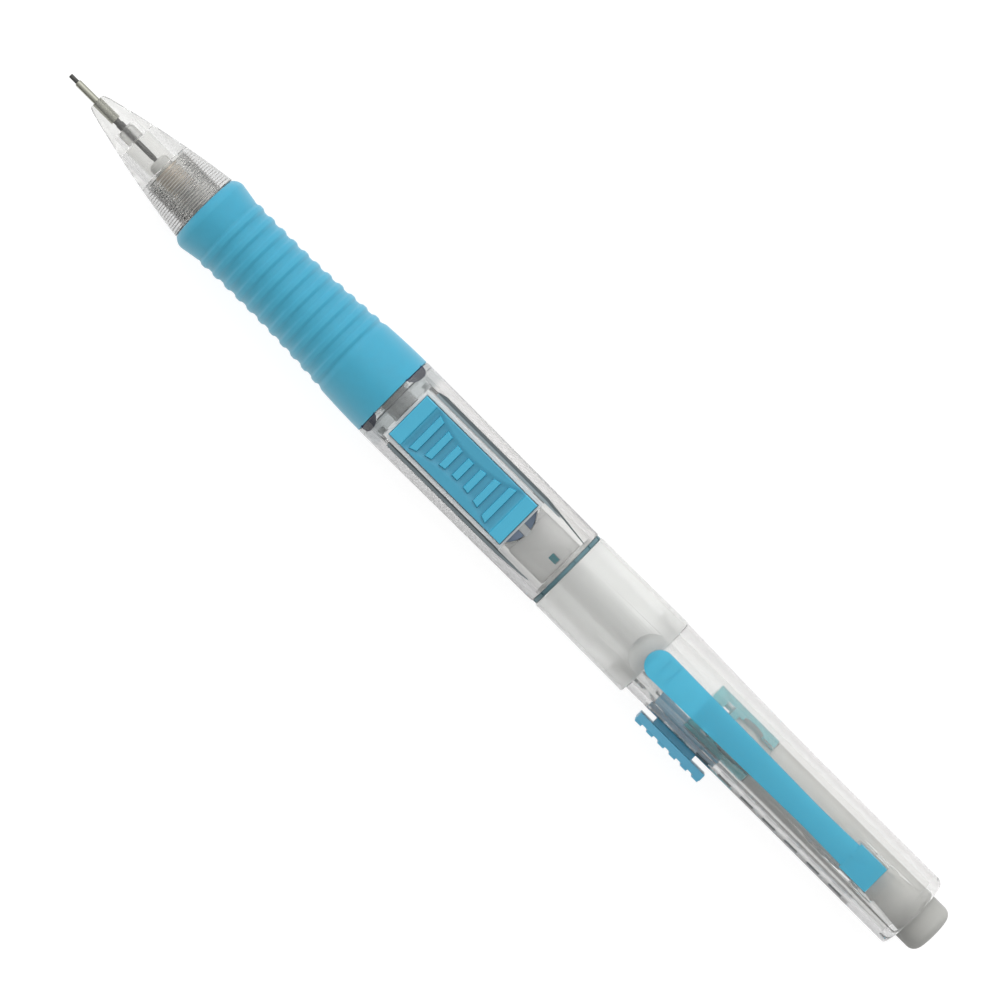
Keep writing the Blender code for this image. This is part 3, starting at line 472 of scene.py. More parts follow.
SLIDE_BLUE = moulded("slide_blue_plastic", (0.1, 0.39, 0.57), 0.35, mottle=0.05, grain=3.0, grain_size=0.12,
                     subsurface=0.1)
BLUE_TINT = moulded("blue_tint_plastic", (0.1, 0.63, 0.86), 0.1, transmission=0.55, mottle=0.03, grain=1.5,
                    grain_size=0.8)
TEAL_TINT = moulded("teal_tint_plastic", (0.045, 0.76, 0.84), 0.12, transmission=0.42, mottle=0.03,
                    grain=1.0, grain_size=0.8)
# Painted shade: the wire that draws the thread's lines inside the clear cone
THREAD = moulded("thread_painted_shade", (0.86, 0.83, 0.8), 0.45, mottle=0.1, grain=1.0, grain_size=0.3)
# Painted shade and reflection: the two dark half-moons beside the button tray's tongue
DARK_TEAL_SHADE = dark_plastic_and_shade("dark_teal_plastic", (0.2, 0.26, 0.36), 0.35)
SEAM = dark_plastic_and_shade("seam_plastic", (0.09, 0.18, 0.21), 0.5)
MARK = dark_plastic_and_shade("mark_plastic", (0.04, 0.14, 0.155), 0.35)
# Painted shade: the dark lines along the button's slot and the dashes at the rack's notches
SLATE_SHADE = dark_plastic_and_shade("slate_painted_shade", (0.05, 0.075, 0.085), 0.5)
# Painted shade and reflection: the grey bands beside the lines along the button's slot
MIST_SHADE = dark_plastic_and_shade("mist_painted_shade", (0.19, 0.24, 0.26), 0.5)
# Painted reflection and shade: the two dark crescents before the button's slot
INDIGO_SHADE = dark_plastic_and_shade("indigo_painted_shade", (0.016, 0.018, 0.065), 0.6, ior=1.15)
VINYL = moulded("eraser_vinyl", (0.41, 0.41, 0.39), 0.7, mottle=0.05, mottle_size=0.8, grain=10.0,
                grain_size=0.15, subsurface=0.1)
GRAPHITE = moulded("graphite", (0.06, 0.06, 0.055), 0.4, metallic=0.3, mottle=0.15, mottle_size=0.3,
                   grain=3.0, grain_size=0.05)
STEEL = moulded("sleeve_steel", (0.34, 0.34, 0.29), 0.28, metallic=1.0, mottle=0.08, mottle_size=0.5,
                grain=1.0, grain_size=0.06)
SPRING_WIRE = moulded("spring_steel", (0.55, 0.55, 0.55), 0.25, metallic=1.0, mottle=0.05, mottle_size=0.5,
                      grain=1.0, grain_size=0.06)
BRASS = moulded("brass", (0.75, 0.61, 0.46), 0.3, metallic=1.0, mottle=0.06, mottle_size=0.5, grain=1.0,
                grain_size=0.06)
SOFT_CLEAR = moulded("retainer_rubber", (0.85, 0.85, 0.84), 0.35, transmission=0.95, ior=1.42, mottle=0.06,
                     mottle_size=0.6, grain=6.0, grain_size=0.3)

# Painted light and shade over a piece, and one change of tint, with the places in millimetres where they
# start and end
# Painted shade in the grip's valleys, between its ridges
shade_valleys(GRIP, RIDGE_FIRST, RIDGE_PITCH, RIDGE_COUNT, (0.93, 0.95, 0.95))
# Painted light: the grip lighter on its +Y side, which faces the lamp
shift_along(GRIP, "Y", 3.0, 0.0, (1.25, 1.04, 1.02))
# Painted sheen: the grip paler towards its lower -Y edge, a reflection of the floor
shift_along(GRIP, "Y", 0.0, -4.5, (1.9, 1.2, 1.15))
# Painted shade: the clear shells darker along both long edges, the -Y edge most
shift_along(CLEAR, "Y", -3.6, -4.6, (0.66, 0.66, 0.67))
shift_along(CLEAR, "Y", 3.9, 4.9, (0.82, 0.81, 0.81))
# Painted shade: the front barrel darker where its chamber starts, just behind the grip
shift_colour(CLEAR, between(CLEAR, position(CLEAR, "X"), 53.6, 57.6, 0.6), (0.76, 0.79, 0.8))
# Painted shade: the cone darker along both long edges
shift_along(CONE_CLEAR, "Y", -1.5, -3.0, (0.78, 0.78, 0.79))
shift_along(CONE_CLEAR, "Y", 2.0, 3.2, (0.85, 0.85, 0.86))
# Painted light: the eraser lighter where it lies inside the tube than at its end
shift_along(VINYL, "X", 143.0, 139.5, (1.65, 1.65, 1.65))
# Painted shade: the eraser darker towards -Y, away from the lamp
shift_along(VINYL, "Y", -1.0, -3.0, (0.8, 0.8, 0.8))
shift_along(SLIDE_BLUE, "Y", -5.2, -4.9, (0.35, 0.95, 1.05))
# Painted shade: the thumb pad darker below the tops of its ribs, in the hollow
shift_along(PAD_BLUE, "Z", PAD_TOP - 0.08, PAD_TOP - 0.3, (0.8, 0.7, 0.72))


# ---------------------------------------------------------------- tip and mechanism

def make_stick(name, node, body, radius, swell=()):
    """Make a lead, its ends softened. A swell lists (x, radius) points between the ends."""
    (x0, x1), (y0, y1), (z0, z1) = span(node)
    profile = [(x0, 0.0), (x0, radius), *swell, (x1, radius), (x1, 0.0)]
    stick = turned(name, rounded(profile, 0.08, closed=False), LEAD_SEGMENTS, closed=False)
    stick.data.transform(Matrix.Translation((0.0, (y0 + y1) / 2 * MM, (z0 + z1) / 2 * MM)))
    place(shade(stick), GRAPHITE, "graphite", body, node)


def make_leads():
    """The working lead, thicker where the cone magnifies it, and the spare leads in the tank."""
    working_radius, magnified_radius, spare_radius = 0.28, 0.34, 0.25
    swell = [(8.45, working_radius), (8.55, magnified_radius), (14.3, magnified_radius),
             (14.45, working_radius)]
    make_stick("lead_stick", "lead", "working_lead", working_radius, swell)
    for number in (1, 2, 3):
        make_stick(f"spare_stick_{number}", f"spare_lead_{number}", "feed", spare_radius)


def make_sleeve():
    """The metal guide tube, with a small chamfer at its mouth."""
    (x0, x1), _, (_, radius) = span("lead_sleeve")
    chamfer_depth, chamfer_length = 0.07, 0.16
    profile = [(x0, LEAD_BORE), (x0, radius - chamfer_depth), (x0 + chamfer_length, radius), (x1, radius),
               (x1, LEAD_BORE)]
    sleeve = turned("guide_sleeve", rounded(profile, 0.04), FINE_SEGMENTS)
    place(shade(sleeve), STEEL, "sleeve_steel", "barrel", "lead_sleeve")


def make_retainer():
    """The soft ring behind the sleeve."""
    (x0, x1), _, (_, radius) = span("lead_retainer")
    bore = LEAD_BORE + 0.1
    nose_radius, nose_length = 0.7 * radius, 0.5
    profile = [(x0, bore), (x0, nose_radius), (x0 + nose_length, radius), (x1, radius), (x1, bore)]
    ring = turned("retainer_ring", rounded(profile, 0.15), FINE_SEGMENTS)
    place(shade(ring), SOFT_CLEAR, "retainer_rubber", "barrel", "lead_retainer")


def make_chuck():
    """The slit collet: a chamfered head and a thin stem, with three slits that meet at the bore."""
    (x0, x1), _, (_, radius) = span("chuck")
    bore = LEAD_BORE + 0.08
    nose_radius, nose_length = 0.72 * radius, 0.4
    head_length, neck_length, stem_radius = 1.4, 2.8, 0.95
    profile = [(x0, bore), (x0, nose_radius), (x0 + nose_length, radius), (x0 + head_length, radius),
               (x0 + neck_length, stem_radius), (x1, stem_radius), (x1, bore)]
    chuck = turned("chuck_collet", rounded(profile, 0.12), FINE_SEGMENTS)
    slit_count, slit_length, slit_half_width = 3, 7.5, 0.11
    for number in range(slit_count):
        slit = block("slit", (x0 - 1, x0 + slit_length), (-slit_half_width, slit_half_width), (0.2, 2.0))
        slit.data.transform(Matrix.Rotation(math.pi + 2 * math.pi * number / slit_count, 4, "X"))
        combine(chuck, slit)
    place(shade(chuck), WHITE, "white_plastic", "feed", "chuck")


def make_clutch_ring():
    """The ring round the jaws, with a bore that opens towards the front."""
    (x0, x1), _, (_, radius) = span("clutch_ring")
    bore, lip = 1.1, 0.15
    profile = [(x0, radius - lip), (x0, radius), (x1, radius), (x1, bore), ((x0 + x1) / 2, bore)]
    ring = turned("clutch_band", rounded(profile, 0.12), FINE_SEGMENTS)
    place(shade(ring), BRASS, "brass", "ring", "clutch_ring")


def coil(name, x_range, radius, wire, turns, closing):
    """Wind a wire of a given radius about the X axis; closing draws the end coils together."""
    steps = 36
    curve = bpy.data.curves.new(name, "CURVE")
    curve.dimensions = "3D"
    curve.bevel_depth = wire * MM
    curve.bevel_resolution = 2
    curve.use_fill_caps = True
    path = curve.splines.new("POLY")
    path.points.add(turns * steps)
    for step, point in enumerate(path.points):
        share = step / (turns * steps)
        eased = share - closing * math.sin(4 * math.pi * share) / 2
        along = x_range[0] + (x_range[1] - x_range[0]) * eased
        angle = 2 * math.pi * step / steps
        point.co = (*(Vector((along, radius * math.cos(angle), radius * math.sin(angle))) * MM), 1.0)
    wound = bpy.data.objects.new(name, curve)
    bpy.context.collection.objects.link(wound)
    return wound


def make_spring():
    """The chuck spring, with its end coils closed up. It keeps clear of the tank's travel."""
    (x0, x1), _, (_, outer) = span("chuck_spring")
    wire = 0.18
    travel = 1.25
    spring = coil("feed_spring", (x0 + wire, x1 - wire - travel), outer - wire, wire, turns=9, closing=0.07)
    place(spring, SPRING_WIRE, "spring_steel", "barrel", "chuck_spring")


def make_tank():
    """The lead tank, with a narrow neck that holds the chuck."""
    (x0, x1), _, (_, radius) = span("lead_tank")
    neck_rear, neck_bore = x0 + 3.9, 1.02
    bore = 1.45
    profile = [(x0, neck_bore), (x0, radius), (x1, radius), (x1, bore), (neck_rear, bore),
               (neck_rear, neck_bore)]
    place(shade(turned("tank_tube", rounded(profile, 0.15))), MILKY, "milky_plastic", "feed", "lead_tank")


def make_stopper():
    """The cup-shaped plug behind the tank."""
    (x0, x1), _, (_, radius) = span("tank_stopper")
    wall = 0.8
    profile = [(x0, 0.0), (x0, radius), (x1, radius), (x1, radius - wall), (x0 + wall, radius - wall),
               (x0 + wall, 0.0)]
    plug = turned("stopper_plug", rounded(profile, 0.2, closed=False), closed=False)
    place(shade(plug), MILKY, "milky_plastic", "barrel", "tank_stopper")


def make_cam_slider():
    """The carriage on the tank: the CAD node's shape, with softened edges."""
    carriage = bevelled(cad_copy("cam_slider", "cam_carriage"), 0.08, 2)
    place(shade(carriage), INNER, "milky_plastic", "feed", "cam_slider")


# ---------------------------------------------------------------- barrel

def make_nose_cone():
    """The clear cone: a swelling outside, the sleeve's bore, a pocket, the chuck's cavity and a socket."""
    (x0, x1), _, (_, rear_radius) = span("nose_cone")
    (_, sleeve_rear), _, (_, sleeve_radius) = span("lead_sleeve")
    (pocket_front, _), _, (_, pocket_radius) = span("lead_retainer")
    lead_radius = span("lead")[2][1]
    shoulder, shoulder_radius = 5.3, 1.37
    nose_depth, bulge = 0.3, 0.27
    outside = [(x0, shoulder_radius - nose_depth)]
    for t in stations(0.0, 1.0, 1 / 24):
        radius = shoulder_radius + (rear_radius - shoulder_radius) * t + 4 * bulge * t * (1 - t)
        outside.append((shoulder + (x1 - shoulder) * t, radius))
    socket_front = 16.0
    cavity_front, cavity_radius = 11.4, 1.9
    clearance, grasp = 0.05, 0.01
    inside = [
        (x1, SOCKET_RADIUS),
        (socket_front, SOCKET_RADIUS),
        (socket_front, cavity_radius),
        (cavity_front, cavity_radius),
        (cavity_front, pocket_radius + clearance),
        (pocket_front - clearance, pocket_radius + clearance),
        (pocket_front - clearance, lead_radius - grasp),
        (sleeve_rear - clearance, lead_radius - grasp),
        (sleeve_rear - clearance, sleeve_radius - grasp),
        (x0, sleeve_radius - grasp),
    ]
    cone = turned("clear_cone", rounded(inside + outside, 0.12))
    place(shade(cone), CONE_CLEAR, "clear_plastic", "barrel", "nose_cone")
    # An opaque wire just inside the cone's wall draws the thread's lines: painted shade of its ridges
    turns = 16
    thread_rear = x1 - 0.1
    thread = coil("cone_thread_shade", (thread_rear - turns * THREAD_PITCH, thread_rear), SOCKET_RADIUS + 0.12,
                  0.045, turns, closing=0.0)
    place(thread, THREAD, "clear_plastic", "barrel")


def front_barrel_rear():
    """Return where the front barrel ends, just ahead of the joint ring."""
    return span("joint_ring")[0][0] - 0.05


def make_front_barrel():
    """The clear front barrel: a threaded spigot, a core under the grip, and a body with a slot."""
    (x0, _), _, (_, radius) = span("front_barrel")
    (grip_front, grip_rear) = span("grip_sleeve")[0]
    x1 = front_barrel_rear()
    spigot_rear = grip_front - 0.05
    body_front = grip_rear + 0.1
    core_radius = 4.0
    thread = [(x, SPIGOT_RADIUS) for x in stations(x0, spigot_rear, THREAD_PITCH / 8)]
    outside = [(spigot_rear, core_radius), (body_front, core_radius), (body_front, radius),
               (TAPER_FRONT, radius), (x1, radius - TAPER)]
    chamber_front, chamber_radius = 55.4, 4.7
    spring_seat_front, spring_seat_rear, spring_seat_bore = 19.6, 20.0, 1.15
    spigot_bore, bore = 2.2, 2.3
    inside = [
        (x1, chamber_radius),
        (chamber_front, chamber_radius),
        (chamber_front, bore),
        (spring_seat_rear, bore),
        (spring_seat_rear, spring_seat_bore),
        (spring_seat_front, spring_seat_bore),
        (spring_seat_front, spigot_bore),
        (x0, spigot_bore),
    ]
    corners = rounded([thread[-1]] + outside + inside + [thread[0]], 0.15, closed=False)
    barrel = turned("clear_front_barrel", thread + corners[1:-1])
    cut_thread(barrel, x0, spigot_rear, SPIGOT_RADIUS)
    slot_front, slot_half_width, slot_floor = 57.0, 3.9, 2.0
    outline = [(slot_front + 3.0, slot_half_width), (slot_front, slot_half_width),
               (slot_front, -slot_half_width), (slot_front + 3.0, -slot_half_width)]
    outline = rounded(outline, 0.6, closed=False)
    arc_radius = 4.0
    half_angle = math.asin(slot_half_width / arc_radius)
    for turn in stations(-half_angle, half_angle, 0.05):
        outline.append((SLOT_ARC_CENTRE + arc_radius * math.cos(turn), arc_radius * math.sin(turn)))
    combine(barrel, slab("slot", outline, slot_floor, BEYOND))
    place(shade(barrel), CLEAR, "clear_plastic", "barrel", "front_barrel")


def inlay(name, outline, material):
    """Set a strip into the front barrel's surface. The outline lists its limits across, as (x, y, y)."""
    radius = span("front_barrel")[2][1]
    taper_length = front_barrel_rear() - TAPER_FRONT
    proud, thickness = 0.012, 0.3
    sections = []
    for x, first, last in outline:
        surface = radius - TAPER * max(0.0, x - TAPER_FRONT) / taper_length + proud
        top = [(x, y, math.sqrt(surface ** 2 - y ** 2)) for y in (first, last)]
        bottom = [(x, y, height - thickness) for _, y, height in reversed(top)]
        sections.append(top + bottom)
    place(shade(loft(name, sections)), material, "dark_teal_plastic", "barrel")


def make_slot_shade_lines():
    """Painted shade and reflection: the lines that refraction draws along the button's slot, and two dark
    crescents before it.
    """
    # Dark lines and grey bands of painted shade and reflection along both edges of the slot
    inlay("slot_shade_line_left", [(58.3, 4.3, 4.38), (59.4, 4.26, 4.6), (76.5, 4.26, 4.56), (79.5, 4.1, 4.24),
                             (83.3, 3.75, 3.79)], SLATE_SHADE)
    inlay("slot_shade_band_left", [(58.3, 3.94, 4.24), (76.5, 3.94, 4.26), (79.0, 3.94, 4.0)], MIST_SHADE)
    inlay("slot_shade_line_right", [(58.3, -3.94, -4.0), (59.4, -3.94, -4.1), (76.5, -3.94, -4.06),
                              (80.5, -3.96, -4.0)], SLATE_SHADE)
    inlay("slot_shade_band_right", [(58.3, -4.12, -4.5), (76.5, -4.1, -4.46), (81.5, -3.9, -4.0)], MIST_SHADE)
    # Two dark crescents of painted reflection and shade: the grip's shaded rear face, seen in the wall
    crescent = [(54.45, 2.7, 5.1), (54.9, 2.8, 5.1), (55.3, 3.15, 5.0), (55.55, 3.5, 4.8), (55.7, 3.95, 4.5)]
    for hand, side in (("left", 1), ("right", -1)):
        inlay(f"front_crescent_shade_{hand}", [(x, side * first, side * last) for x, first, last in crescent], INDIGO_SHADE)


def grip_radius(x, rear):
    """Return the radius of the grip at x: a waisted envelope, less the valleys between the ridges."""
    shoulder, shoulder_radius = 24.0, 5.33
    waist, waist_radius = 32.0, 4.94
    front_rise, rear_rise, rear_fullness = 0.24, 0.41, 1.25
    valley_depth, crest_half_width, flank = 0.22, 0.2, 0.55
    if x < waist:
        envelope = waist_radius + front_rise * ((waist - x) / (waist - shoulder)) ** 2
    else:
        rise = 1 - math.cos(math.pi * ((x - waist) / (rear - waist)) ** rear_fullness)
        envelope = waist_radius + rear_rise * rise
    phase = (x - RIDGE_FIRST) / RIDGE_PITCH
    off_ridge = abs(phase - min(RIDGE_COUNT - 1, max(0, round(phase)))) * RIDGE_PITCH
    valley = valley_depth * ease((off_ridge - crest_half_width) / flank)
    if phase > RIDGE_COUNT - 1:
        valley *= 1 - ease((phase - RIDGE_COUNT + 0.65) / 0.5)
    ridged = envelope - valley
    if phase < 0:
        slope = (shoulder_radius - 4.87) / 2.7
        front = shoulder_radius - 0.02 - slope * (x - shoulder)
        ridged += (front - ridged) * (1 - ease((phase + 0.6) / 0.25))
    return ridged


def make_grip():
    """The rubber grip, with rounded ridges and a rounded nose."""
    (x0, x1) = span("grip_sleeve")[0]
    bore = 4.08
    nose_rear, nose_drop, nose_fullness = 24.0, 0.53, 2.2
    outside = []
    for x in stations(x0, x1, 0.06):
        nose = max(0.0, (nose_rear - x) / (nose_rear - x0))
        outside.append((x, grip_radius(max(x, nose_rear), x1) - nose_drop * nose ** nose_fullness))
    outside = outside[:-2] + rounded([outside[-2], outside[-1], (x1, bore)], 0.1, closed=False)[1:]
    grip = turned("rubber_grip", outside + [(x0, bore)], GRIP_SEGMENTS)
    place(shade(grip, math.radians(60)), GRIP, "grip_rubber", "barrel", "grip_sleeve")


def make_joint_ring():
    """The thin dark ring, notched at even steps round its rim."""
    (x0, x1) = span("joint_ring")[0]
    front = x0 - 0.04
    bore, radius = 4.72, 5.5
    ring = turned("seam_ring", rounded([(front, bore), (front, radius), (x1, radius), (x1, bore)], 0.08))
    notch_count, notch_half_width, notch_depth = 12, 0.17, 0.12
    for number in range(notch_count):
        notch = block("notch", (front - 1, x1 + 1), (-notch_half_width, notch_half_width),
                      (radius - notch_depth, BEYOND))
        notch.data.transform(Matrix.Rotation(2 * math.pi * (number + 0.5) / notch_count, 4, "X"))
        combine(ring, notch)
    place(shade(ring), SEAM, "dark_teal_plastic", "barrel", "joint_ring")


def make_mid_barrel():
    """The milky section, with a rib in its bore and a scoop for the clip's nose, and the mark before it."""
    (_, x1), _, (_, radius) = span("mid_barrel")
    body_front = span("joint_ring")[0][1] + 0.04
    spigot_front, spigot_radius = body_front - 1.2, 4.6
    socket_front, socket_radius = span("rear_tube")[0][0] - 0.3, 4.9
    bore = 4.0
    profile = [
        (spigot_front, bore),
        (spigot_front, spigot_radius),
        (body_front, spigot_radius),
        (body_front, radius - TAPER),
        (x1, radius - 0.06),
        (x1, socket_radius),
        (socket_front, socket_radius),
        (socket_front, bore),
    ]
    barrel = turned("milky_barrel", rounded(profile, 0.12))
    combine(barrel, block("rib", (86.9, 95.4), (-0.17, 0.17), (bore - 0.35, bore + 0.1)), "UNION")
    scoop_length, scoop_half_width, scoop_floor = 3.2, 2.8, 5.08
    centre = x1 - scoop_length + scoop_half_width
    outline = [(x1 + 1, scoop_half_width)]
    for turn in stations(0.0, math.pi, math.pi / 32):
        outline.append((centre - scoop_half_width * math.sin(turn), scoop_half_width * math.cos(turn)))
    outline.append((x1 + 1, -scoop_half_width))
    combine(barrel, slab("scoop", outline, scoop_floor, BEYOND))
    place(shade(barrel), MILKY, "milky_plastic", "barrel", "mid_barrel")
    inlay("index_mark", [(81.4, -0.3, 0.5), (82.5, -0.3, 0.5)], MARK)


def rear_tube_outside(front, x1):
    """Return the rear tube's outer profile: it narrows in a curve, then ends in a rounded corner."""
    front_radius, rear_radius, taper_rear = 5.69, 5.24, 125.0
    corner = 0.9
    profile = []
    for t in stations(0.0, 1.0, 1 / 12):
        radius = front_radius - (front_radius - rear_radius) * math.sin(t * math.pi / 2)
        profile.append((front + (taper_rear - front) * t, radius))
    for turn in stations(0.0, math.pi / 2, math.pi / 16):
        profile.append((x1 - corner * (1 - math.sin(turn)), rear_radius - corner * (1 - math.cos(turn))))
    return profile


def make_rear_tube():
    """The clear rear tube, with two flats, the slide's slot and rack, and the clip's window and seat."""
    (x0, x1), (side_flat, _), _ = span("rear_tube")
    front = span("mid_barrel")[0][1] + 0.08
    plug_radius = 4.8
    bore, mouth = 4.05, 3.37
    bore_rear = x1 - 1.4
    profile = [(x0, bore), (x0, plug_radius), (front, plug_radius), *rear_tube_outside(front, x1),
               (x1, mouth), (bore_rear, mouth), (bore_rear, bore)]
    tube = turned("clear_rear_tube", profile)
    combine(tube, block("side", (front, x1 + 1), (-BEYOND, side_flat), (-BEYOND, BEYOND)))
    top_front, top_rear = 4.95, 4.45
    slope = [(front, top_front), (x1 + 1, top_rear), (x1 + 1, BEYOND), (front, BEYOND)]
    combine(tube, loft("top", [[(x, y, z) for x, z in slope] for y in (-BEYOND, BEYOND)]))
    combine(tube, bevelled(block("seat", (133.9, 137.5), (-2.5, 2.5), (bore + 0.2, 5.3)), 0.15), "UNION")
    combine(tube, block("slot", (102.0, 136.0), (-BEYOND, -3.0), (-1.1, 1.1)))
    notch_depth, notch_half_height = 0.35, 1.6
    for number in range(RACK_COUNT):
        notch = RACK_FIRST + RACK_PITCH * number
        combine(tube, block("notch", (notch, notch + NOTCH_LENGTH), (-BEYOND, side_flat + notch_depth),
                            (-notch_half_height, notch_half_height)))
    (_, root_rear), (_, root_half_width), _ = span("clip")
    gap = 0.2
    window = block("window", (root_rear - CLIP_ROOT_LENGTH - gap, root_rear + gap),
                   (-root_half_width - gap, root_half_width + gap), (mouth, BEYOND))
    combine(tube, window)
    place(shade(tube), CLEAR, "clear_plastic", "barrel", "rear_tube")


def make_rack_shade_dashes():
    """Painted shade: the dark dashes that the rack's notches show from above, behind the knob."""
    hidden = 2
    for number in range(RACK_COUNT - hidden):
        notch = RACK_FIRST + RACK_PITCH * (number + hidden)
        dash = block(f"rack_dash_{number + 1}", (notch, notch + NOTCH_LENGTH), (-4.4, -3.95), (2.0, 2.12))
        place(shade(bevelled(dash, 0.03)), SLATE_SHADE, "dark_teal_plastic", "barrel")


# ---------------------------------------------------------------- button

def rib_half_length(x):
    """Return half the length of the thumb ribs at x: short in the middle, long at both ends."""
    off_middle = (x - RIB_MIDDLE) / (RIB_MIDDLE - RIB_FIRST)
    return 1.42 + 1.1 * off_middle ** 2


def make_tray():
    """The clear tray under the thumb pad, with softened edges and a shorter tongue."""
    x1 = span("button_carrier")[0][1]
    tongue_rear = 77.8
    tray = cad_copy("button_carrier", "button_tray")
    combine(tray, block("beyond", (tongue_rear, x1 + 1), (-BEYOND, BEYOND), (0.0, BEYOND)))
    bevelled(tray, 0.08, 2)
    place(shade(tray), TRAY, "clear_plastic", "button", "button_carrier")


def make_pad():
    """The blue thumb pad: raised ends, and a row of ribs in a waisted hollow."""
    (x0, x1), (_, cad_half_width), (bottom, top) = span("button_pad")
    half_width = cad_half_width - 0.04
    end_length, end_height = 1.75, 0.22
    hollow_depth, hollow_margin = 0.14, 0.1
    edge = 0.12
    softness = 0.1
    row_front = RIB_FIRST - RIB_PITCH / 2
    row_rear = RIB_FIRST + RIB_PITCH * (RIB_COUNT - 0.5)

    def height(x, y):
        from_end = min(x - x0, x1 - x)
        margin = min(from_end, half_width - abs(y))
        roll = edge - math.sqrt(max(0.0, edge ** 2 - max(0.0, edge - margin) ** 2))
        plate = top - end_height * ease((from_end - end_length) / 0.2)
        inside = rib_half_length(x) + hollow_margin - abs(y)
        hollow = hollow_depth * ease((inside + 0.45) / 0.9) * ease((from_end - end_length - 0.2) / 0.6)
        floor = plate - hollow
        if not row_front < x < row_rear:
            return floor - roll
        off_rib = abs((x - RIB_FIRST) / RIB_PITCH - round((x - RIB_FIRST) / RIB_PITCH)) * RIB_PITCH
        along = ease((RIB_HALF_WIDTH - off_rib) / softness + 0.5)
        across = ease((rib_half_length(x) - abs(y)) / softness + 0.5)
        return floor + (top - 0.03 - floor) * along * across - roll

    pad = relief("thumb_pad", (x0, x1), (-half_width, half_width), bottom, height, 0.06)
    place(shade(pad), PAD_BLUE, "blue_plastic", "button", "button_pad")


def make_half_moon_shades():
    """Two dark half-moons of painted shade and reflection beside the tray's tongue, where the gap there lies
    in shade.
    """
    front = span("button_carrier")[0][0] + 19.45
    radius = 3.86
    inner = 0.55
    first = math.asin(inner / radius)
    last = math.acos((front - SLOT_ARC_CENTRE) / radius)
    for side, name in ((1, "half_moon_shade_left"), (-1, "half_moon_shade_right")):
        outline = [(front, side * inner)]
        for turn in stations(first, last, 0.05):
            outline.append((SLOT_ARC_CENTRE + radius * math.cos(turn), side * radius * math.sin(turn)))
        half_moon_shade = bevelled(slab(name, outline, 4.0, 4.3), 0.05)
        place(shade(half_moon_shade), DARK_TEAL_SHADE, "dark_teal_plastic", "button")


# ---------------------------------------------------------------- clip and eraser

def make_clip():
    """The tinted clip: a bar with a rounded nose and crowned top, a contact bump and a square root."""
    (x0, x1), (_, root_half_width), (root_bottom, top) = span("clip")
    bottom = 5.7
    nose = 1.9
    neck = 125.4
    root_front = x1 - CLIP_ROOT_LENGTH
    nose_rear = x0 + nose
    narrowing, widening = 0.4, 0.12
    crown, crown_drop = 0.12, 0.1
    xs = [x0 + nose * (1 - math.cos(turn)) for turn in stations(0.0, math.pi / 2, math.pi / 24)]
    xs += stations(nose_rear, root_front + 0.3, 1.0)[1:]
    sections = []
    for x in xs:
        if x < nose_rear:
            width = math.sqrt(max(0.03, nose ** 2 - (nose_rear - x) ** 2))
        else:
            width = nose - narrowing * min(1.0, (x - nose_rear) / (neck - nose_rear))
            width += widening * max(0.0, (x - neck) / (root_front - neck))
        section = []
        for u, v in ((-1, 0), (1, 0), (1, 1), (0, 1), (-1, 1)):
            height = bottom + (top - crown_drop - bottom) * v + (crown if u == 0 else 0.0)
            section.append((x, u * width, height))
        sections.append(section)
    clip = loft("pocket_clip_bar", sections)
    root = block("root", (root_front, x1), (-root_half_width, root_half_width), (root_bottom, top))
    combine(clip, root, "UNION")
    bump_x, bump_radius, bump_depth, bump_half_width = x0 + 3.2, 0.9, 0.7, 1.4
    bump_arc = [(bump_x + bump_radius * math.cos(turn), bottom - bump_depth * math.sin(turn))
                for turn in stations(0.0, math.pi, math.pi / 12)]
    bump_arc += [(bump_x - bump_radius, bottom + 0.3), (bump_x + bump_radius, bottom + 0.3)]
    bump = loft("bump", [[(x, y, z) for x, z in bump_arc] for y in (-bump_half_width, bump_half_width)])
    combine(clip, bump, "UNION")
    bevelled(clip, 0.22, 4)
    place(shade(clip), BLUE_TINT, "blue_tint_plastic", "pocket_clip", "clip")


def make_eraser_slider():
    """The blue slide: a plate inside the tube, a neck through the slot, and a ridged knob."""
    (x0, x1), (y0, y1), (z0, z1) = span("eraser_slider")
    plate_thickness, knob_inner, ridge_height = 0.32, -5.75, 0.3
    slide = block("slide_knob", (x0 + 0.2, x1), (y1 - plate_thickness, y1), (-1.4, 1.4))
    combine(slide, block("neck", (104.3, 110.7), (knob_inner - 0.2, y1 - 0.1), (-1.0, 1.0)), "UNION")
    combine(slide, block("knob", (x0, x1), (y0 + ridge_height, knob_inner), (z0, z1)), "UNION")
    ridge_count, ridge_pitch, ridge_half_width = 6, 1.9, 0.5
    inset = 0.02
    for number in range(ridge_count):
        centre = (x0 + x1) / 2 + ridge_pitch * (number - (ridge_count - 1) / 2)
        ridge_front = max(x0 + inset, centre - ridge_half_width)
        ridge_rear = min(x1 - inset, centre + ridge_half_width)
        ridge = block("ridge", (ridge_front, ridge_rear), (y0, y0 + ridge_height + 0.2),
                      (z0 + 0.05, z1 - 0.05))
        combine(slide, ridge, "UNION")
    bevelled(slide, 0.1, 3)
    place(shade(slide), SLIDE_BLUE, "blue_plastic", "eraser_unit", "eraser_slider")


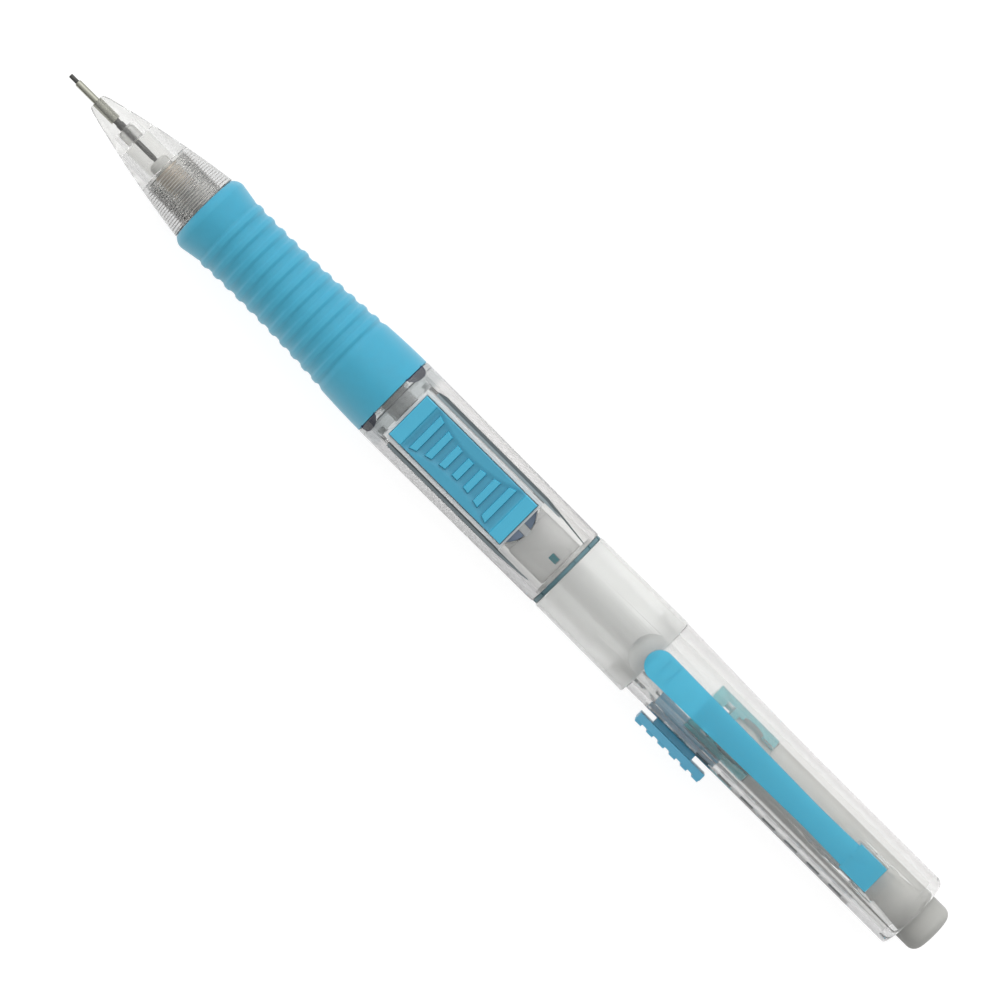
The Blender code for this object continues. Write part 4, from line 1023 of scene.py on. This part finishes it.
def make_eraser_carrier():
    """The tinted cup, with two windows and two finger slots that arch outwards."""
    (x0, x1), _, (_, radius) = span("eraser_carrier")
    floor = x0 + 1.1
    bore = 3.0
    profile = [(x0, 0.0), (x0, radius), (x1, radius), (x1, bore), (floor, bore), (floor, 0.0)]
    cup = turned("eraser_cup", rounded(profile, 0.12, closed=False), closed=False)
    combine(cup, block("flat", (x0 - 1, x1 + 1), (-radius - 1, -3.2), (-1.5, 1.5)))
    window = [(108.8, 1.35), (110.0, 1.35), (110.0, 2.45), (108.8, 2.45)]
    slot_front, slot_inner, slot_outer = 111.0, 1.45, 2.3
    arch_centre, arch_radius, arch_height = 113.1, 1.6, 0.35
    fingers = [(x1 + 1, slot_inner), (slot_front, slot_inner), (slot_front, slot_outer)]
    fingers += [(arch_centre - arch_radius * math.cos(turn), slot_outer + arch_height * math.sin(turn))
                for turn in stations(0.0, math.pi, math.pi / 12)]
    fingers.append((x1 + 1, slot_outer))
    for side in (1, -1):
        combine(cup, slab("window", [(x, side * y) for x, y in window], -BEYOND, BEYOND))
        combine(cup, slab("fingers", [(x, side * y) for x, y in fingers], -BEYOND, BEYOND))
    place(shade(cup), TEAL_TINT, "teal_tint_plastic", "eraser_unit", "eraser_carrier")


def make_eraser():
    """The eraser stick: a thinner shank inside the cup, and a rounded end."""
    (x0, x1), _, (_, radius) = span("eraser")
    shank_rear, shank_radius = span("eraser_carrier")[0][1] + 0.15, 2.9
    fillet = 1.2
    profile = [(x0, 0.0), (x0, shank_radius), (shank_rear, shank_radius), (shank_rear, radius)]
    for turn in stations(0.0, math.pi / 2, math.pi / 24):
        profile.append((x1 - fillet * (1 - math.sin(turn)), radius - fillet * (1 - math.cos(turn))))
    profile.append((x1, 0.0))
    eraser = turned("eraser_stick", profile, closed=False)
    place(shade(eraser), VINYL, "eraser_vinyl", "eraser_unit", "eraser")


# ---------------------------------------------------------------- stage

def make_floor():
    """A plain white floor just under the pencil, lit a little from within, as a light table is."""
    top = cad_box[0][2] / MM - FLOOR_GAP
    half = 1500.0
    floor = block("floor", (-half, half), (-half, half), (top - 1, top))
    material = bpy.data.materials.new("floor_white")
    material.use_nodes = True
    shader = material.node_tree.nodes["Principled BSDF"]
    shader.inputs["Base Color"].default_value = (0.25, 0.25, 0.25, 1.0)
    shader.inputs["Roughness"].default_value = 1.0
    shader.inputs["Specular IOR Level"].default_value = 0.0
    shader.inputs["Emission Color"].default_value = (1.0, 1.0, 1.0, 1.0)
    shader.inputs["Emission Strength"].default_value = 0.86
    floor.data.materials.append(material)


def make_world():
    """A soft dome, brighter towards one large light on the +Y side and dark near the horizon."""
    world = bpy.data.worlds.new("studio")
    bpy.context.scene.world = world
    world.use_nodes = True
    nodes = world.node_tree.nodes
    links = world.node_tree.links
    background = nodes["Background"]
    background.inputs["Color"].default_value = (1.0, 1.0, 1.0, 1.0)
    where = nodes.new("ShaderNodeTexCoord")

    def facing(direction):
        dot = nodes.new("ShaderNodeVectorMath")
        dot.operation = "DOT_PRODUCT"
        dot.inputs[1].default_value = Vector(direction).normalized()
        links.new(where.outputs["Generated"], dot.inputs[0])
        return dot.outputs["Value"]

    dome = ramp(world, facing((-0.3, 0.8, 0.6)), -1.0, 1.0, 0.05, 1.2, smooth=False)
    horizon = ramp(world, facing((0.0, 0.0, 1.0)), 0.05, 0.45, 0.12, 1.0)
    lamp = ramp(world, facing((-0.45, 0.8, 0.4)), 0.5, 0.95)
    light = calculated(world, "ADD", calculated(world, "MULTIPLY", dome, horizon), lamp)
    links.new(light, background.inputs["Strength"])


def make_camera():
    """A long lens over the pencil, rolled so that the tip is at the upper left."""
    camera_data = bpy.data.cameras.new("camera")
    camera_data.sensor_width = SENSOR_WIDTH
    camera_data.lens = SENSOR_WIDTH * CAMERA_DISTANCE / FRAME_WIDTH
    camera_data.clip_start = 0.01
    camera = bpy.data.objects.new("camera", camera_data)
    bpy.context.collection.objects.link(camera)
    tilt = Matrix.Rotation(-CAMERA_TILT, 4, "X")
    roll = Matrix.Rotation(CAMERA_ROLL, 4, "Z")
    away = Matrix.Translation((0.0, 0.0, CAMERA_DISTANCE * MM))
    camera.matrix_world = Matrix.Translation(Vector(VIEW_CENTRE) * MM) @ tilt @ away @ roll
    bpy.context.scene.camera = camera


def set_light_paths():
    """Let light pass through all the walls of the clear barrel."""
    scene = bpy.context.scene
    scene.view_settings.view_transform = "Standard"
    scene.cycles.max_bounces = 24
    scene.cycles.transmission_bounces = 24
    scene.cycles.glossy_bounces = 12
    scene.cycles.transparent_max_bounces = 16


make_camera()
make_leads()
make_sleeve()
make_retainer()
make_chuck()
make_clutch_ring()
make_spring()
make_tank()
make_stopper()
make_cam_slider()
make_nose_cone()
make_front_barrel()
make_slot_shade_lines()
make_grip()
make_joint_ring()
make_mid_barrel()
make_rear_tube()
make_rack_shade_dashes()
make_tray()
make_pad()
make_half_moon_shades()
make_clip()
make_eraser_slider()
make_eraser_carrier()
make_eraser()
make_floor()
make_world()
set_light_paths()
